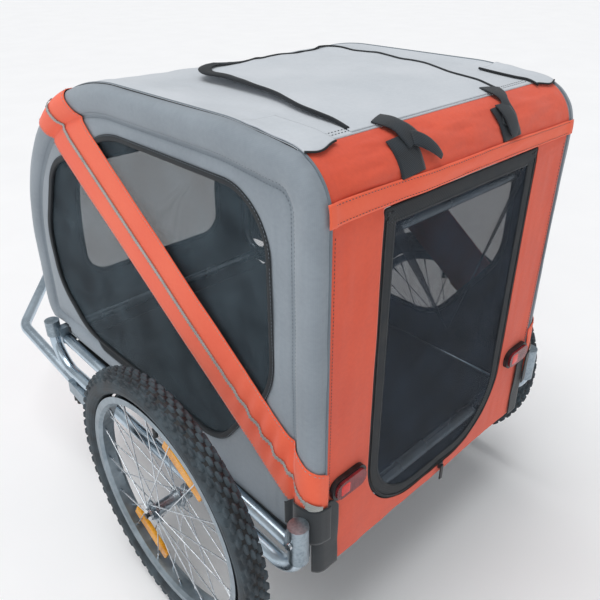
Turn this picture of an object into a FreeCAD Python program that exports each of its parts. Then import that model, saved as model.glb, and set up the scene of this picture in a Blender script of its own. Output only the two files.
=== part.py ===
"""Two-wheeled bicycle trailer with a soft cabin, built as separate named pieces.

Frame: +X right, +Y forward (direction of travel), +Z up, millimetres.  Pieces are
modelled about the middle of the wheel axle and moved to the row frame on export:
origin on the ground, at the middle of the whole length.
"""
import FreeCAD, Part
import math
import os

V = FreeCAD.Vector

# ---- driving dimensions (mm) -------------------------------------------------
WHEEL_R = 257.0            # tyre outer radius, 20 inch wheel
WHEEL_X = 391.0            # wheel plane, either side of the middle
RIM_R = 209.0              # rim outer radius
RIM_DEPTH = 17.0
RIM_HALF_W = 16.0
TYRE_R = 25.5              # tyre section radius
TYRE_WALL = 4.0
SPOKE_COUNT = 32
SPOKE_R = 1.1
FLANGE_R = 21.0
SPOKE_STAND_OFF = 3.5      # spokes lie beside the flange, inside and outside in turn
FLANGE_OFFSET = 24.0       # hub flange to wheel plane
AXLE_R = 6.0

HALF_W = 296.5             # cabin half width, outer face of the side cloth
CLOTH = 3.5                # thickness of the padded cloth walls
REAR_Y = -271.0            # rear face of the cabin
NOSE_Y = 602.0             # foremost point of the cabin
ROOF_Z = 655.0             # roof, above the axle
SKIRT_Z = -13.0            # lower edge of the rear cloth
REAR_CORNER_R = 73.0
NOSE_R = 430.0
CHIN_R = 65.0
ROOF_PITCH = 5.8           # degrees, fall of the roof's rear end
ROOF_BREAK_Y = -100.0

FRAME_TUBE_R = 12.7        # lower tubes and tow arm
RAIL_R = 11.0
HOOP_R = 9.5
TUBE_WALL = 1.5
FIT = 0.05                 # radial clearance of a fit
LOWER_X = 326.0
RAIL_X = 309.0
HOOP_X = 280.0
UPRIGHT_REAR_Y = -262.0
UPRIGHT_FRONT_Y = 535.0
HOOP_REAR_Y = -256.0
HOOP_FRONT_Z = 78.0
BRACKET_TOP_Z = 112.0

DOOR_HALF_W = 186.0
DOOR_TOP_Z = 560.0
DOOR_FOOT_Z = 6.0
DOOR_CORNER_R = 130.0

ARM_TILT = 7.0             # degrees the tow arm rises forwards
ARM_PIVOT = V(-LOWER_X, 385.0, -40.0)
ARM_STRAIGHT = 350.0       # pivot to first bend
ARM_SHIFT = 300.0          # sideways offset of the hitch from the arm's root
ARM_BEND2_Y = 716.0
ARM_END_Y = 830.0
HITCH_PIN_Y = 858.0
HITCH_EYE_Y = 893.0
HITCH_EYE_R = 5.25

GROUND_Z = -WHEEL_R
MIDDLE_Y = 500.9           # middle of the whole length, from the axle
TO_ROW = V(0, -MIDDLE_Y, -GROUND_Z)

X_AXIS = V(1, 0, 0)
SIDES = (("left", -1), ("right", 1))


# ---- helpers -------------------------------------------------------------------
def box(x0, x1, y0, y1, z0, z1):
    """Axis-aligned block between two corners, given in any order."""
    low = V(min(x0, x1), min(y0, y1), min(z0, z1))
    return Part.makeBox(abs(x1 - x0), abs(y1 - y0), abs(z1 - z0), low)


def rod(start, end, radius):
    """Round bar between two points."""
    run = end.sub(start)
    return Part.makeCylinder(radius, run.Length, start, run)


def pipe(start, end, outer, bore):
    """Straight tube between two points."""
    return rod(start, end, outer).cut(rod(start, end, bore))


def fused(shapes):
    """One solid from touching shapes."""
    return shapes[0].multiFuse(shapes[1:]).removeSplitter()


def group(shapes):
    """Separate solids that share one node."""
    return Part.Compound(shapes)


def mirrored(shape):
    """Copy on the other side of the middle plane."""
    return shape.mirror(V(0, 0, 0), X_AXIS)


def on_side(shape, sign):
    """Shape drawn for the left side, placed on the side that sign gives."""
    return shape if sign < 0 else mirrored(shape)


def bent_path(points, radii):
    """Wire of straight runs joined by tangent arcs, one radius per inner point."""
    edges = []
    start = points[0]
    for index in range(1, len(points) - 1):
        corner = points[index]
        back = points[index - 1].sub(corner).normalize()
        ahead = points[index + 1].sub(corner).normalize()
        half = 0.5 * back.getAngle(ahead)
        reach = radii[index - 1] / math.tan(half)
        arc_in = corner.add(V(back).multiply(reach))
        arc_out = corner.add(V(ahead).multiply(reach))
        bisector = back.add(ahead).normalize()
        centre = corner.add(V(bisector).multiply(radii[index - 1] / math.sin(half)))
        middle = centre.sub(V(bisector).multiply(radii[index - 1]))
        edges.append(Part.LineSegment(start, arc_in).toShape())
        edges.append(Part.Arc(arc_in, middle, arc_out).toShape())
        start = arc_out
    edges.append(Part.LineSegment(start, points[-1]).toShape())
    return Part.Wire(edges)


def swept(path, start, direction, radius):
    """Round bar along a wire."""
    ring = Part.Wire(Part.makeCircle(radius, start, direction))
    return path.makePipe(Part.Face(ring))


def bent_tube(points, radii, outer, wall=TUBE_WALL):
    """Tube along straight runs and tangent arcs."""
    path = bent_path(points, radii)
    direction = points[1].sub(points[0])
    skin = swept(path, points[0], direction, outer)
    hollow = swept(path, points[0], direction, outer - wall)
    return skin.cut(hollow)


def on_cabin(points):
    """Points of the cabin's side view, (y, z) pairs, in the plane x = 0."""
    return [V(0, y, z) for y, z in points]


def slab(face, x0, x1):
    """Solid from a face in the plane x = 0, between two x values."""
    placed = face.copy()
    placed.translate(V(min(x0, x1), 0, 0))
    return placed.extrude(V(abs(x1 - x0), 0, 0))


def placed_on_arm(shape):
    """Move a shape drawn about the tow arm's pivot to its tilted place."""
    moved = shape.copy()
    moved.rotate(V(0, 0, 0), X_AXIS, ARM_TILT)
    moved.translate(ARM_PIVOT)
    return moved


# ---- cabin side view -------------------------------------------------------------
def cabin_outline(inset, bottom_rear, bottom_front):
    """Closed side-view face of the cabin, drawn in from its outer line by inset."""
    pitch = math.radians(ROOF_PITCH)
    rear = REAR_Y + inset
    top = ROOF_Z - inset
    nose = NOSE_Y - inset
    corner_r = REAR_CORNER_R - inset
    corner_y = REAR_Y + REAR_CORNER_R
    rise = (ROOF_BREAK_Y - corner_y + REAR_CORNER_R * math.sin(pitch)) * math.tan(pitch)
    corner_z = ROOF_Z - rise - REAR_CORNER_R * math.cos(pitch)
    nose_r = NOSE_R - inset
    chin_r = CHIN_R - inset
    chin_y = NOSE_Y - CHIN_R
    chin_z = bottom_front + CHIN_R
    turn = math.radians(135)
    half_turn = math.radians(45)
    nose_c = V(0, NOSE_Y - NOSE_R, ROOF_Z - NOSE_R)
    lift = inset * math.tan(0.5 * pitch)
    a = V(0, rear, bottom_rear + inset)
    b = V(0, rear, corner_z)
    c = V(0, corner_y + corner_r * math.cos(turn), corner_z + corner_r * math.sin(turn))
    d = V(0, corner_y - corner_r * math.sin(pitch), corner_z + corner_r * math.cos(pitch))
    e = V(0, ROOF_BREAK_Y + lift, top)
    f = V(0, nose_c.y, top)
    reach = nose_r * math.cos(half_turn)
    g = V(0, nose_c.y + reach, nose_c.z + reach)
    h = V(0, nose, nose_c.z)
    i = V(0, nose, chin_z)
    dip = chin_r * math.cos(half_turn)
    j = V(0, chin_y + dip, chin_z - dip)
    k = V(0, chin_y, chin_z - chin_r)
    edges = [
        Part.LineSegment(a, b).toShape(),
        Part.Arc(b, c, d).toShape(),
        Part.LineSegment(d, e).toShape(),
        Part.LineSegment(e, f).toShape(),
        Part.Arc(f, g, h).toShape(),
        Part.LineSegment(h, i).toShape(),
        Part.Arc(i, j, k).toShape(),
        Part.LineSegment(k, a).toShape(),
    ]
    return Part.Face(Part.Wire(edges))


def wall_ring(inset, thickness, half_width):
    """Band of cloth that runs round the cabin's side-view outline."""
    outer = slab(cabin_outline(inset, SKIRT_Z, HOOP_FRONT_Z - 13), -half_width, half_width)
    inner = slab(cabin_outline(inset + thickness, SKIRT_Z, HOOP_FRONT_Z - 13),
                 -half_width - 1, half_width + 1)
    return outer.cut(inner)


def rounded_plate(points, radii, axis_x0, axis_x1):
    """Plate in the YZ plane whose closed outline is rounded at every corner."""
    count = len(points)
    edges = []
    tangents = []
    for index in range(count):
        corner = points[index]
        back = points[index - 1].sub(corner).normalize()
        ahead = points[(index + 1) % count].sub(corner).normalize()
        half = 0.5 * back.getAngle(ahead)
        reach = radii[index] / math.tan(half)
        bisector = back.add(ahead).normalize()
        centre = corner.add(V(bisector).multiply(radii[index] / math.sin(half)))
        tangents.append((
            corner.add(V(back).multiply(reach)),
            centre.sub(V(bisector).multiply(radii[index])),
            corner.add(V(ahead).multiply(reach)),
        ))
    for index in range(count):
        arc = tangents[index]
        following = tangents[(index + 1) % count]
        edges.append(Part.Arc(arc[0], arc[1], arc[2]).toShape())
        edges.append(Part.LineSegment(arc[2], following[0]).toShape())
    return slab(Part.Face(Part.Wire(edges)), axis_x0, axis_x1)


# ---- steel frame -------------------------------------------------------------------
LOWER_ROUTE = [
    V(-LOWER_X, UPRIGHT_REAR_Y, 104),
    V(-LOWER_X, UPRIGHT_REAR_Y, 0),
    V(-LOWER_X, UPRIGHT_FRONT_Y, 0),
    V(-LOWER_X, UPRIGHT_FRONT_Y, 100),
]
LOWER_BENDS = [55, 70]


def lower_tube():
    """U-shaped lower tube of one side, with holes for the axle sleeve and the bolt."""
    tube = bent_tube(LOWER_ROUTE, LOWER_BENDS, FRAME_TUBE_R)
    hole = rod(V(-LOWER_X - 20, 0, 0), V(-LOWER_X + 20, 0, 0), 10 + FIT)
    return tube.cut(hole).cut(bolt_hole())


def lower_tube_space():
    """Room that a fitting leaves round the lower tube."""
    path = bent_path(LOWER_ROUTE, LOWER_BENDS)
    return swept(path, LOWER_ROUTE[0], V(0, 0, -1), FRAME_TUBE_R + FIT)


RAIL_REAR = V(-RAIL_X, -222, 31)
RAIL_FRONT = V(-RAIL_X, 507, 62)


def floor_rail():
    """Side rail that carries the floor's edge."""
    return pipe(RAIL_REAR, RAIL_FRONT, RAIL_R, RAIL_R - TUBE_WALL)


def hoop():
    """Hoop that shapes the side of the cabin, from the rear bracket to the front one."""
    inset = CLOTH + 2 + HOOP_R
    pitch = math.radians(ROOF_PITCH)
    roof = ROOF_Z - inset
    drop = (ROOF_BREAK_Y - REAR_Y) * math.tan(pitch)
    nose = NOSE_Y - inset
    points = [
        V(-HOOP_X, HOOP_REAR_Y, 52),
        V(-HOOP_X, HOOP_REAR_Y, roof - drop),
        V(-HOOP_X, ROOF_BREAK_Y, roof),
        V(-HOOP_X, nose, roof),
        V(-HOOP_X, nose, HOOP_FRONT_Z),
        V(-HOOP_X, 514, HOOP_FRONT_Z),
    ]
    radii = [REAR_CORNER_R - inset + 1, 300, NOSE_R - inset, 52]
    return bent_tube(points, radii, HOOP_R)


def rear_bracket():
    """Corner fitting: sleeves for the lower tube and the hoop, spigots for the rails."""
    y = UPRIGHT_REAR_Y
    outer = rod(V(-LOWER_X, y, 42), V(-LOWER_X, y, BRACKET_TOP_Z), 16)
    inner = rod(V(-HOOP_X, HOOP_REAR_Y, 46), V(-HOOP_X, HOOP_REAR_Y, BRACKET_TOP_Z), 12)
    web = box(-LOWER_X, -HOOP_X, y + 2, y + 10, 46, 108)
    ear = box(-RAIL_X - 9, -RAIL_X + 9, y + 2, RAIL_REAR.y - 1, 22, 62)
    direction = RAIL_FRONT.sub(RAIL_REAR).normalize()
    root = RAIL_REAR.sub(V(direction).multiply(2))
    tip = RAIL_REAR.add(V(direction).multiply(20))
    spigot = rod(root, tip, RAIL_R - TUBE_WALL - FIT)
    cross = rod(V(-HOOP_X, HOOP_REAR_Y, 60), V(-HOOP_X + 30, HOOP_REAR_Y, 60), RAIL_R - TUBE_WALL - FIT)
    body = fused([outer, inner, web, ear, spigot, cross])
    hoop_space = rod(V(-HOOP_X, HOOP_REAR_Y, 40), V(-HOOP_X, HOOP_REAR_Y, 120), HOOP_R + FIT)
    return body.cut(lower_tube_space()).cut(hoop_space).cut(bolt_hole())


def bolt_hole():
    """Cross hole for the bolt that pins the lower tube in its sleeve."""
    return rod(V(-LOWER_X - 20, UPRIGHT_REAR_Y, 84), V(-LOWER_X + 14, UPRIGHT_REAR_Y, 84), 3.1)


def on_pair(maker, sign):
    """Result of a left-side maker, on the side that sign gives."""
    return on_side(maker(), sign)


def front_bracket():
    """Front corner fitting: the hoop's end comes in level from the nose."""
    y = UPRIGHT_FRONT_Y
    outer = rod(V(-LOWER_X, y, 70), V(-LOWER_X, y, 106), 16)
    inner = rod(V(-HOOP_X, 508, HOOP_FRONT_Z), V(-HOOP_X, 533, HOOP_FRONT_Z), 12)
    plate = box(-RAIL_X - 9, -HOOP_X, 509, 517, 52, 90)
    link = box(-LOWER_X + 4, -HOOP_X - 9, 509, 530, 70, 90)
    root = V(-RAIL_X, 512, 62.2)
    direction = RAIL_FRONT.sub(RAIL_REAR).normalize()
    spigot = rod(root, root.sub(V(direction).multiply(24)), RAIL_R - TUBE_WALL - FIT)
    cross = rod(V(-HOOP_X, 526, HOOP_FRONT_Z), V(-HOOP_X + 30, 526, HOOP_FRONT_Z),
                RAIL_R - TUBE_WALL - FIT)
    body = fused([outer, inner, plate, link, spigot, cross])
    hoop_space = rod(V(-HOOP_X, 513.5, HOOP_FRONT_Z), V(-HOOP_X, 560, HOOP_FRONT_Z), HOOP_R + FIT)
    return body.cut(lower_tube_space()).cut(hoop_space)


def cross_tube(y, z):
    """Tube across the cabin between two corner fittings."""
    end = HOOP_X - 12.5
    return pipe(V(-end, y, z), V(end, y, z), RAIL_R, RAIL_R - TUBE_WALL)


def axle_cross_tube():
    """Tube between the two axle sleeves, under the floor."""
    end = LOWER_X - FRAME_TUBE_R - 0.3
    return pipe(V(-end, 0, 0), V(end, 0, 0), FRAME_TUBE_R, 10 + FIT)


def axle_sleeve():
    """Sleeve through the lower tube that holds the wheel's plug-in axle."""
    sleeve = pipe(V(-352, 0, 0), V(-272, 0, 0), 10, AXLE_R + FIT)
    collar = pipe(V(-352, 0, 0), V(-346, 0, 0), 14, AXLE_R + FIT)
    return fused([sleeve, collar])


def hoop_nose_point(angle):
    """Point of the hoop's nose bend, angle in degrees up from level, and its direction."""
    turn = math.radians(angle)
    bend_r = NOSE_R - CLOTH - 2 - HOOP_R
    y = NOSE_Y - NOSE_R + bend_r * math.cos(turn)
    z = ROOF_Z - NOSE_R + bend_r * math.sin(turn)
    return y, z, V(0, -math.sin(turn), math.cos(turn))


CLIP_R = 11.0              # outside of the clip that grips a hoop

BAR_PLACES = (
    (HOOP_REAR_Y, 520.0, V(0, 0, 1)),
    hoop_nose_point(58.0),
)


def roof_bar(y, z):
    """Spreader bar between the hoops, with a cap in each end."""
    end = HOOP_X - CLIP_R - 1
    return pipe(V(-end, y, z), V(end, y, z), 8, 6.5)


def bar_clip(y, z, along):
    """Plastic clip that grips a hoop and plugs into a spreader bar.

    along is the hoop's direction at the clip."""
    centre = V(-HOOP_X, y, z)
    half = V(along).normalize().multiply(9)
    shell = rod(centre.sub(half), centre.add(half), CLIP_R)
    plug = rod(centre, V(-HOOP_X + 36, y, z), 6.5 - FIT)
    stop = rod(centre, V(-HOOP_X + CLIP_R + 0.8, y, z), 9)
    body = fused([shell, plug, stop])
    return body.cut(rod(centre.sub(V(half).multiply(2)), centre.add(V(half).multiply(2)), HOOP_R + 0.15))


def floor_panel():
    """Cloth floor, stiffened by a board, slung under the side rails."""
    drop = RAIL_R + 0.5
    slope = (RAIL_FRONT.z - RAIL_REAR.z) / (RAIL_FRONT.y - RAIL_REAR.y)
    rear_y = RAIL_REAR.y + 4
    front_y = RAIL_FRONT.y - 2
    rear_z = RAIL_REAR.z - drop + slope * (rear_y - RAIL_REAR.y)
    front_z = RAIL_REAR.z - drop + slope * (front_y - RAIL_REAR.y)
    corners = on_cabin([(rear_y, rear_z), (front_y, front_z),
                        (front_y, front_z - 4), (rear_y, rear_z - 4)])
    return slab(Part.Face(Part.makePolygon(corners + corners[:1])), -302, 302)


def bracket_bolts():
    """Hex-headed bolts through the rear fittings' outer sleeves."""
    bolts = []
    for _, sign in SIDES:
        shank = rod(V(-LOWER_X - 17, UPRIGHT_REAR_Y, 84), V(-LOWER_X + 12, UPRIGHT_REAR_Y, 84), 3)
        head = rod(V(-LOWER_X - 21, UPRIGHT_REAR_Y, 84), V(-LOWER_X - 16.9, UPRIGHT_REAR_Y, 84), 5.5)
        bolts.append(on_side(fused([shank, head]), sign))
    return group(bolts)


# ---- wheels -----------------------------------------------------------------------
def turned(profile_points):
    """Solid of revolution about the X axis from (x, r) points."""
    outline = [V(x, 0, r) for x, r in profile_points]
    face = Part.Face(Part.makePolygon(outline + outline[:1]))
    return face.revolve(V(0, 0, 0), X_AXIS, 360)


def tyre():
    """Hollow tyre, open towards the rim."""
    core_r = WHEEL_R - TYRE_R
    torus = Part.makeTorus(core_r, TYRE_R, V(-WHEEL_X, 0, 0), X_AXIS)
    hollow = Part.makeTorus(core_r, TYRE_R - TYRE_WALL, V(-WHEEL_X, 0, 0), X_AXIS)
    seat = rod(V(-WHEEL_X - 30, 0, 0), V(-WHEEL_X + 30, 0, 0), RIM_R + 0.1)
    return torus.cut(hollow).cut(seat)


def inner_tube():
    """Air tube inside the tyre."""
    core_r = WHEEL_R - TYRE_R + 1
    skin = Part.makeTorus(core_r, 19.5, V(-WHEEL_X, 0, 0), X_AXIS)
    air = Part.makeTorus(core_r, 18, V(-WHEEL_X, 0, 0), X_AXIS)
    return skin.cut(air)


def rim():
    """Alloy rim with a shallow well for the tyre and a spoke bed inside."""
    w = RIM_HALF_W
    bed = RIM_R - RIM_DEPTH
    profile = [(-w, RIM_R), (-w, bed + 5), (-w + 6, bed), (w - 6, bed), (w, bed + 5), (w, RIM_R),
               (w - 2, RIM_R), (w - 2, RIM_R - 6), (-w + 2, RIM_R - 6), (-w + 2, RIM_R)]
    ring = turned([(x - WHEEL_X, r) for x, r in profile])
    return ring.cut(rod(V(-WHEEL_X, 0, bed - 5), V(-WHEEL_X, 0, RIM_R), 3.3))


def spoke_ends(index):
    """Hub end and rim end of one spoke; alternate spokes lean opposite ways."""
    step = 2 * math.pi / SPOKE_COUNT
    side = 1 if index % 2 else -1
    lean = 1 if (index // 2) % 2 else -1
    rim_angle = step * (index + 0.5)
    hub_angle = rim_angle + lean * math.radians(62)
    flange = -WHEEL_X + side * (FLANGE_OFFSET + SPOKE_STAND_OFF * lean)
    hub_r = FLANGE_R - 3.5
    bed = RIM_R - RIM_DEPTH - 0.4
    hub_end = V(flange, hub_r * math.sin(hub_angle), hub_r * math.cos(hub_angle))
    rim_end = V(-WHEEL_X + side * 4, bed * math.sin(rim_angle), bed * math.cos(rim_angle))
    return hub_end, rim_end


def spokes():
    """Crossed wire spokes with their nipples."""
    wires = []
    for index in range(SPOKE_COUNT):
        hub_end, rim_end = spoke_ends(index)
        inward = hub_end.sub(rim_end).normalize()
        wire = rod(hub_end, rim_end, SPOKE_R)
        nipple = rod(rim_end, rim_end.add(V(inward).multiply(13)), 2)
        wires.append(fused([wire, nipple]))
    return group(wires)


def hub_shell():
    """Hub body with two spoke flanges."""
    outer = FLANGE_OFFSET + 1.2
    inner = FLANGE_OFFSET - 1.2
    profile = [(-30, 10.1), (-30, 13), (-outer, 13), (-outer, FLANGE_R), (-inner, FLANGE_R),
               (-inner, 13), (-14, 11.2), (14, 11.2), (inner, 13), (inner, FLANGE_R),
               (outer, FLANGE_R), (outer, 13), (30, 13), (30, 10.1), (21, 10.1), (21, 8),
               (-21, 8), (-21, 10.1)]
    return turned([(x - WHEEL_X, r) for x, r in profile])


def bearings():
    """Two sealed ball bearings pressed into the hub."""
    rings = []
    for side in (-1, 1):
        near = V(-WHEEL_X + side * 21.2, 0, 0)
        far = V(-WHEEL_X + side * 29.8, 0, 0)
        rings.append(pipe(near, far, 10.05, AXLE_R + FIT))
    return group(rings)


def axle():
    """Plug-in axle with a head outside the hub and a bore for its release button."""
    shank = rod(V(-422, 0, 0), V(-276, 0, 0), AXLE_R)
    head = rod(V(-427, 0, 0), V(-422, 0, 0), 11)
    bore = rod(V(-427, 0, 0), V(-405, 0, 0), 3.6)
    return fused([shank, head]).cut(bore)


def release_button():
    """Button that frees the axle from its sleeve."""
    stem = rod(V(-429, 0, 0), V(-410, 0, 0), 3.55)
    cap = rod(V(-431.5, 0, 0), V(-429, 0, 0), 4.6)
    return fused([stem, cap])


def spoke_reflectors():
    """Two amber reflectors clipped between the spokes, in the wheel's plane."""
    lenses = []
    for turn in (29, 209):
        lens = box(-WHEEL_X - 4, -WHEEL_X + 4, -54, 54, 137, 163)
        lens = lens.makeFillet(3, lens.Edges)
        lens.rotate(V(-WHEEL_X, 0, 0), X_AXIS, turn)
        lenses.append(lens)
    return group(lenses)


def valve():
    """Air valve through the rim, with its cap."""
    bed = RIM_R - RIM_DEPTH
    stem = rod(V(-WHEEL_X, 0, bed - 32), V(-WHEEL_X, 0, RIM_R - 0.5), 3.2)
    cap = rod(V(-WHEEL_X, 0, bed - 40), V(-WHEEL_X, 0, bed - 24), 4.2)
    return fused([stem, cap])


# ---- tow arm and hitch --------------------------------------------------------------
def arm_receiver():
    """Channel under the left lower tube, with saddles welded to the tube."""
    top = box(-15, 15, -36, 84, 13.2, 16.2)
    bottom = box(-15, 15, -36, 84, -16.2, -13.2)
    wall = box(-18, -15, -36, 84, -16.2, 16.2)
    channel = placed_on_arm(fused([top, bottom, wall]))
    saddles = []
    for y in (354, 440):
        saddles.append(box(-LOWER_X - 11, -LOWER_X + 11, y, y + 18, -26, -8))
    body = fused([channel] + saddles)
    tube_space = rod(V(-LOWER_X, 300, 0), V(-LOWER_X, 480, 0), FRAME_TUBE_R + FIT)
    pivot_hole = placed_on_arm(rod(V(0, 0, -30), V(0, 0, 30), 4.1))
    knob_hole = placed_on_arm(rod(V(0, 66, -30), V(0, 66, -10), 4.1))
    arm_space = placed_on_arm(box(-15, 30, -36, 84, -13.2, 13.2))
    return body.cut(tube_space).cut(pivot_hole).cut(knob_hole).cut(arm_space)


def arm_pivot_bolt():
    """Bolt that the tow arm swings on."""
    shank = rod(V(0, 0, -21), V(0, 0, 19), 4)
    nut = rod(V(0, 0, -23), V(0, 0, -16.3), 7)
    head = rod(V(0, 0, 16.3), V(0, 0, 20.5), 7)
    return placed_on_arm(fused([shank, nut, head]))


def tow_arm():
    """Cranked tow tube, open at the hitch end, with a crushed eye at its root."""
    points = [V(0, -5, 0), V(0, ARM_STRAIGHT, 0), V(ARM_SHIFT, ARM_BEND2_Y, 0), V(ARM_SHIFT, ARM_END_Y, 0)]
    tube = bent_tube(points, [60, 80], FRAME_TUBE_R)
    eye = pipe(V(0, 0, -12.4), V(0, 0, 12.4), 8, 4 + FIT)
    tube = tube.cut(rod(V(0, 0, -20), V(0, 0, 20), 8))
    return placed_on_arm(fused([tube, eye.common(rod(V(0, -40, 0), V(0, 60, 0), FRAME_TUBE_R - 0.1))]))


def clamp_knob():
    """Star knob under the receiver whose screw locks the tow arm."""
    screw = rod(V(0, 66, -24), V(0, 66, -13.6), 4)
    hub = rod(V(0, 66, -38), V(0, 66, -24), 11)
    lobes = []
    for index in range(5):
        angle = 2 * math.pi * index / 5
        x = 11 * math.cos(angle)
        y = 66 + 11 * math.sin(angle)
        lobes.append(rod(V(x, y, -38), V(x, y, -26), 6))
    return placed_on_arm(fused([screw, hub] + lobes))


def hitch_swivel():
    """Fork that turns in the end of the tow tube."""
    bore_r = FRAME_TUBE_R - TUBE_WALL - FIT
    stem = rod(V(ARM_SHIFT, ARM_END_Y - 45, 0), V(ARM_SHIFT, ARM_END_Y + 1, 0), bore_r)
    shoulder = rod(V(ARM_SHIFT, ARM_END_Y + 0.5, 0), V(ARM_SHIFT, ARM_END_Y + 10, 0), 14)
    cheeks = []
    for side in (-1, 1):
        cheek = box(ARM_SHIFT - 11, ARM_SHIFT + 11, ARM_END_Y + 8, HITCH_PIN_Y, side * 7.3, side * 12)
        tip = rod(V(ARM_SHIFT, HITCH_PIN_Y, side * 7.3), V(ARM_SHIFT, HITCH_PIN_Y, side * 12), 11)
        cheeks.extend([cheek, tip])
    body = fused([stem, shoulder] + cheeks)
    hole = rod(V(ARM_SHIFT, HITCH_PIN_Y, -20), V(ARM_SHIFT, HITCH_PIN_Y, 20), 4 + FIT)
    return placed_on_arm(body.cut(hole))


def hitch_pin():
    """Pin through the fork and the coupling tongue."""
    shank = rod(V(ARM_SHIFT, HITCH_PIN_Y, -14), V(ARM_SHIFT, HITCH_PIN_Y, 14), 4)
    head = rod(V(ARM_SHIFT, HITCH_PIN_Y, 12.2), V(ARM_SHIFT, HITCH_PIN_Y, 16), 7)
    foot = rod(V(ARM_SHIFT, HITCH_PIN_Y, -16), V(ARM_SHIFT, HITCH_PIN_Y, -12.2), 6)
    return placed_on_arm(fused([shank, head, foot]))


def hitch_tongue():
    """Flat coupling that bolts to the bicycle's rear axle."""
    barrel = rod(V(ARM_SHIFT, HITCH_PIN_Y, -7), V(ARM_SHIFT, HITCH_PIN_Y, 7), 9.5)
    neck = box(ARM_SHIFT - 3, ARM_SHIFT + 3, HITCH_PIN_Y, HITCH_EYE_Y, -7, 7)
    eye = rod(V(ARM_SHIFT - 3, HITCH_EYE_Y, 0), V(ARM_SHIFT + 3, HITCH_EYE_Y, 0), 14)
    body = fused([barrel, neck, eye])
    pin_hole = rod(V(ARM_SHIFT, HITCH_PIN_Y, -20), V(ARM_SHIFT, HITCH_PIN_Y, 20), 4 + FIT)
    axle_hole = rod(V(ARM_SHIFT - 10, HITCH_EYE_Y, 0), V(ARM_SHIFT + 10, HITCH_EYE_Y, 0), HITCH_EYE_R)
    return placed_on_arm(body.cut(pin_hole).cut(axle_hole))


# ---- cloth cabin ----------------------------------------------------------------------
WINDOW = [(-180, 578), (190, 579), (425, 480), (505, 325), (498, 205), (390, 112), (-40, 112), (-181, 300)]
WINDOW_RADII = [80, 200, 120, 150, 100, 150, 100, 150]
MESH_LAP = 10.0            # how far the window mesh laps behind the cloth


def window_cut(x0, x1, lap=0.0):
    """Window plate; lap makes it larger all round."""
    plate = rounded_plate(on_cabin(WINDOW), WINDOW_RADII, x0, x1)
    if not lap:
        return plate
    middle_y = 165.0
    middle_z = 345.0
    scale_y = 1 + lap / 340.0
    scale_z = 1 + lap / 240.0
    matrix = FreeCAD.Matrix()
    matrix.move(V(0, -middle_y, -middle_z))
    matrix.scale(V(1, scale_y, scale_z))
    matrix.move(V(0, middle_y, middle_z))
    return plate.transformGeometry(matrix)


def side_panel():
    """Padded side wall with the window opening and notches at the corner fittings."""
    wall = slab(cabin_outline(0, 32, HOOP_FRONT_Z - 13), -HALF_W, -HALF_W + CLOTH)
    wall = wall.cut(window_cut(-HALF_W - 1, -HALF_W + CLOTH + 1))
    wall = wall.cut(box(-300, -280, -280, -228, 20, 118))
    return wall.cut(box(-300, -280, 503, 620, 40, 98))


def window_mesh():
    """Mesh behind the window opening, lapping the cloth all round."""
    return window_cut(-HALF_W + CLOTH + 0.3, -HALF_W + CLOTH + 1.5, MESH_LAP)


BAND_REAR = V(0, -246, 131)
BAND_FRONT = V(0, 392, 612)
BAND_HALF_W = 58.0
BAND_THICK = 1.6


def side_band():
    """Reflective band across the side, from the roof's front to the rear foot."""
    run = BAND_FRONT.sub(BAND_REAR)
    across = V(0, -run.z, run.y).normalize().multiply(BAND_HALF_W)
    rear = BAND_REAR.sub(V(run).multiply(0.1))
    front = BAND_FRONT.add(V(run).multiply(0.1))
    corners = [rear.sub(across), front.sub(across), front.add(across), rear.add(across)]
    strip = Part.Face(Part.makePolygon(corners + corners[:1]))
    band = slab(strip, -HALF_W - 0.3 - BAND_THICK, -HALF_W - 0.3)
    return band.common(slab(cabin_outline(0, 32, HOOP_FRONT_Z - 13), -HALF_W - 5, -HALF_W)).cut(
        box(-305, -290, -280, -228, 20, 118))


RING_HALF_W = HALF_W - CLOTH - 0.3
ROOF_REAR_Y = -216.0
ROOF_FRONT_Y = 352.0


def roof_panel():
    """Roof cloth between the rear seam and the front seam."""
    keep = box(-400, 400, ROOF_REAR_Y + 0.2, ROOF_FRONT_Y - 0.2, 300, 700)
    return wall_ring(0, CLOTH, RING_HALF_W).common(keep)


def rear_panel():
    """Rear cloth: over the rounded corner and down to the skirt, open at the door."""
    ring = wall_ring(0, CLOTH, RING_HALF_W)
    keep = box(-400, 400, -280, ROOF_REAR_Y - 0.2, SKIRT_Z - 1, 700)
    panel = ring.common(keep).cut(box(-400, 400, REAR_Y + CLOTH, -100, SKIRT_Z - 1, 400))
    panel = panel.cut(door_plate(0.4, REAR_Y - 5, REAR_Y + 10))
    for sign in (-1, 1):
        panel = panel.cut(box(sign * 264.5, sign * 300, -280, -250, -20, 126))
    return panel


def door_plate(grow, y0, y1):
    """Door outline: straight top, wide rounded lower corners, extruded along Y."""
    w = DOOR_HALF_W + grow
    top = DOOR_TOP_Z + grow
    foot = DOOR_FOOT_Z - grow
    r = DOOR_CORNER_R
    cut = r * (1 - math.cos(math.radians(45)))
    edges = [
        Part.LineSegment(V(-w, y0, top), V(w, y0, top)).toShape(),
        Part.LineSegment(V(w, y0, top), V(w, y0, foot + r)).toShape(),
        Part.Arc(V(w, y0, foot + r), V(w - cut, y0, foot + cut), V(w - r, y0, foot)).toShape(),
        Part.LineSegment(V(w - r, y0, foot), V(r - w, y0, foot)).toShape(),
        Part.Arc(V(r - w, y0, foot), V(cut - w, y0, foot + cut), V(-w, y0, foot + r)).toShape(),
        Part.LineSegment(V(-w, y0, foot + r), V(-w, y0, top)).toShape(),
    ]
    return Part.Face(Part.Wire(edges)).extrude(V(0, y1 - y0, 0))


def rear_door():
    """Mesh door, sewn along its top edge and zipped round the rest."""
    return door_plate(0, REAR_Y + 0.4, REAR_Y + 2.6)


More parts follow.
